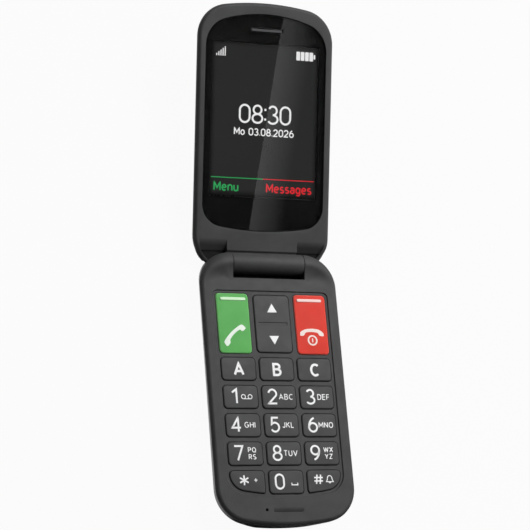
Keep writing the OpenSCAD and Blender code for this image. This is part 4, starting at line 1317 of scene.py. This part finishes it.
def screen():
    """Lit marks, just above the panel."""
    height = level(SCREEN_Z + MARK_LIFT)
    white = Build(ON_LID)
    for word in SCREEN_WORDS:
        print_on(white, word_strokes(*word), height)
    for i in range(SIGNAL_BARS):
        tall = SIGNAL_H + SIGNAL_RISE * i
        x, y = SIGNAL_AT[0] + SIGNAL_PITCH * i, SIGNAL_AT[1] + tall / 2
        fill_on(white, round_box(x, y, SIGNAL_W, tall, SIGNAL_CORNER), height)
    for i in range(CELLS):
        fill_on(white, round_box(CELL_AT[0] + CELL_PITCH * i, CELL_AT[1], *CELL_SIZE), height)
    fill_on(white, round_box(*CELL_CAP), height)
    white.piece("screen_white", "lid", [glow_white], "display")
    for name, material, text, x, start, stop in FOOT_WORDS:
        build = Build(ON_LID)
        print_on(build, word_strokes(text, x, FOOT_Y, FOOT_SIZE, FOOT_PEN, FOOT_GAP), height)
        print_on(build, [(((start, FOOT_LINE_Y), (stop, FOOT_LINE_Y)), FOOT_LINE_PEN)], height)
        build.piece(name, "lid", [material], "display")


base_front()
base_rear()
battery_cover()
lid_front()
lid_rear()
hinge_shaft()
usb_socket()
lens()
for key_name in ALL_KEYS:
    make_key(key_name)
screen()


# Camera, from the photograph's own perspective

PHOTO_SIZE = 530
FOCAL_PIXELS = 2171
CAMERA_TURN = Euler((-0.2870, 0.4180, -0.0339), "XYZ")
CAMERA_OFFSET = Vector((0.08, 0.881, 0))
CAMERA_DISTANCE = 828.27
SENSOR = 36

camera_data = bpy.data.cameras.new("camera")
camera_data.sensor_width = SENSOR
camera_data.lens = SENSOR * FOCAL_PIXELS / PHOTO_SIZE
camera = add_object("camera", camera_data)
to_world = CAMERA_TURN.to_matrix().transposed()
camera_at = to_world @ (Vector((0, 0, CAMERA_DISTANCE)) - CAMERA_OFFSET) * MM
camera.matrix_world = Matrix.Translation(HINGE + camera_at) @ to_world.to_4x4()
scene.camera = camera


# Studio, in metres

FLOOR_SIZE = 8
FLOOR_Z = -0.0002
FLOOR_GREY = 0.4
# How white the floor looks, and where its mirror image turns dark, from left to right
FLOOR_WHITE = 0.95
FLOOR_MIRROR_X = (-0.03, -0.02)
SKY_TOWARDS = (0.5, 0.866, 0)
SKY_STOPS = ((0.4, grey(0.03)), (0.9, grey(0.7)))
# Lamps: name, direction, distance, size and watts
LAMPS = (
    ("key_light", (0.32, 0.42, 0.85), 0.85, (0.45, 0.45), 6.1),
    ("side_light", (0.85, 0.1, 0.5), 0.35, (0.15, 0.3), 0.35),
)
# The card's edge is seen in the lens along this line, which is in the lid's millimetres,
# and its glow fades from there.
CARD_LINE = ((6.8, 95.1), (-5.6, 12.4))
CARD_ASIDE = 15
CARD_DISTANCE = 1.1
CARD_W = 0.05
CARD_STRETCH = 2.2
CARD_STOPS = ((0, grey(0.55)), (0.6, grey(0.03)))


def plane(name, size, matrix, material):
    """Flat stage piece, which is no part of the phone."""
    mesh = bpy.data.meshes.new(name)
    w, h = size[0] / 2, size[1] / 2
    mesh.from_pydata([(-w, -h, 0), (w, -h, 0), (w, h, 0), (-w, h, 0)], [], [(0, 1, 2, 3)])
    mesh.materials.append(material)
    obj = add_object(name, mesh)
    obj.matrix_world = matrix
    return obj


def bare_look(name):
    """A new material with only its output, as the material, its tree and that output."""
    material, tree, shader = new_look(name)
    tree.nodes.remove(shader)
    return material, tree, tree.nodes["Material Output"]


def white_floor():
    """Pale floor that shows nearly white to the eye and in reflections, and keeps a soft shadow."""
    material, tree, output = bare_look("floor_white")
    ray = add_node(tree, "LightPath")
    left = map_range(tree, place_on(tree, "Object")["X"], FLOOR_MIRROR_X, (1, 0))
    mirrored_left = combine(tree, "MULTIPLY", ray["Is Glossy Ray"], left)
    seen = combine(tree, "MAXIMUM", ray["Is Camera Ray"], ray["Is Transmission Ray"])
    white_to = combine(tree, "MAXIMUM", seen, mirrored_left)
    dull = add_node(tree, "BsdfDiffuse", {"Color": (*grey(FLOOR_GREY), 1)})
    white = add_node(tree, "Emission")
    share = combine(tree, "MULTIPLY", white_to, FLOOR_WHITE)
    blend = add_node(tree, "MixShader", {"Fac": share, 1: dull[0], 2: white[0]})
    feed(tree, output, {"Surface": blend[0]})
    return material


def card_glow():
    """Glow that fades across the card."""
    material, tree, output = bare_look("card_glow")
    colour = ramp(tree, place_on(tree, "Generated")["X"], *CARD_STOPS)
    feed(tree, output, {"Surface": add_node(tree, "Emission", {"Color": colour})[0]})
    return material


def softbox(name, towards, distance, size, power):
    """Rectangular lamp that faces the hinge from a direction."""
    data = bpy.data.lights.new(name, "AREA")
    data.shape = "RECTANGLE"
    data.size, data.size_y = size
    data.energy = power
    lamp = add_object(name, data)
    away = Vector(towards).normalized()
    facing = away.to_track_quat("Z", "Y").to_matrix().to_4x4()
    lamp.matrix_world = Matrix.Translation(HINGE + away * distance) @ facing


def mirrored(x, y):
    """Where the camera's ray to a place on the lens goes after it is mirrored there."""
    at = ON_LID @ (Vector((x, y, LENS_TOP)) * MM)
    normal = ON_LID.to_3x3() @ Vector((0, 0, 1))
    ray = (at - camera.matrix_world.translation).normalized()
    return at + (ray - 2 * ray.dot(normal) * normal) * CARD_DISTANCE


def mirror_card():
    """Card out of sight whose mirror image crosses the lens."""
    upper, lower = mirrored(*CARD_LINE[0]), mirrored(*CARD_LINE[1])
    aside = mirrored(CARD_LINE[0][0] + CARD_ASIDE, CARD_LINE[0][1]) - upper
    along = (upper - lower).normalized()
    out = (aside - aside.dot(along) * along).normalized()
    middle = (upper + lower) / 2 + out * CARD_W / 2
    turn = Matrix((out, along, out.cross(along))).transposed()
    size = (CARD_W, (upper - lower).length * CARD_STRETCH)
    card = plane("card", size, Matrix.Translation(middle) @ turn.to_4x4(), card_glow())
    card.visible_camera = False
    card.visible_diffuse = False
    card.visible_shadow = False


world = bpy.data.worlds.new("studio")
scene.world = world
world.use_nodes = True
sky = world.node_tree
sky_place = add_node(sky, "TexCoord")["Generated"]
sky_side = add_node(sky, "VectorMath", {0: sky_place, 1: SKY_TOWARDS}, operation="DOT_PRODUCT")["Value"]
feed(sky, sky.nodes["Background"], {"Color": ramp(sky, sky_side, *SKY_STOPS), "Strength": 1})

plane("floor", (FLOOR_SIZE, FLOOR_SIZE), Matrix.Translation((0, 0, FLOOR_Z)), white_floor())
for lamp_values in LAMPS:
    softbox(*lamp_values)
mirror_card()

scene.view_settings.view_transform = "Standard"
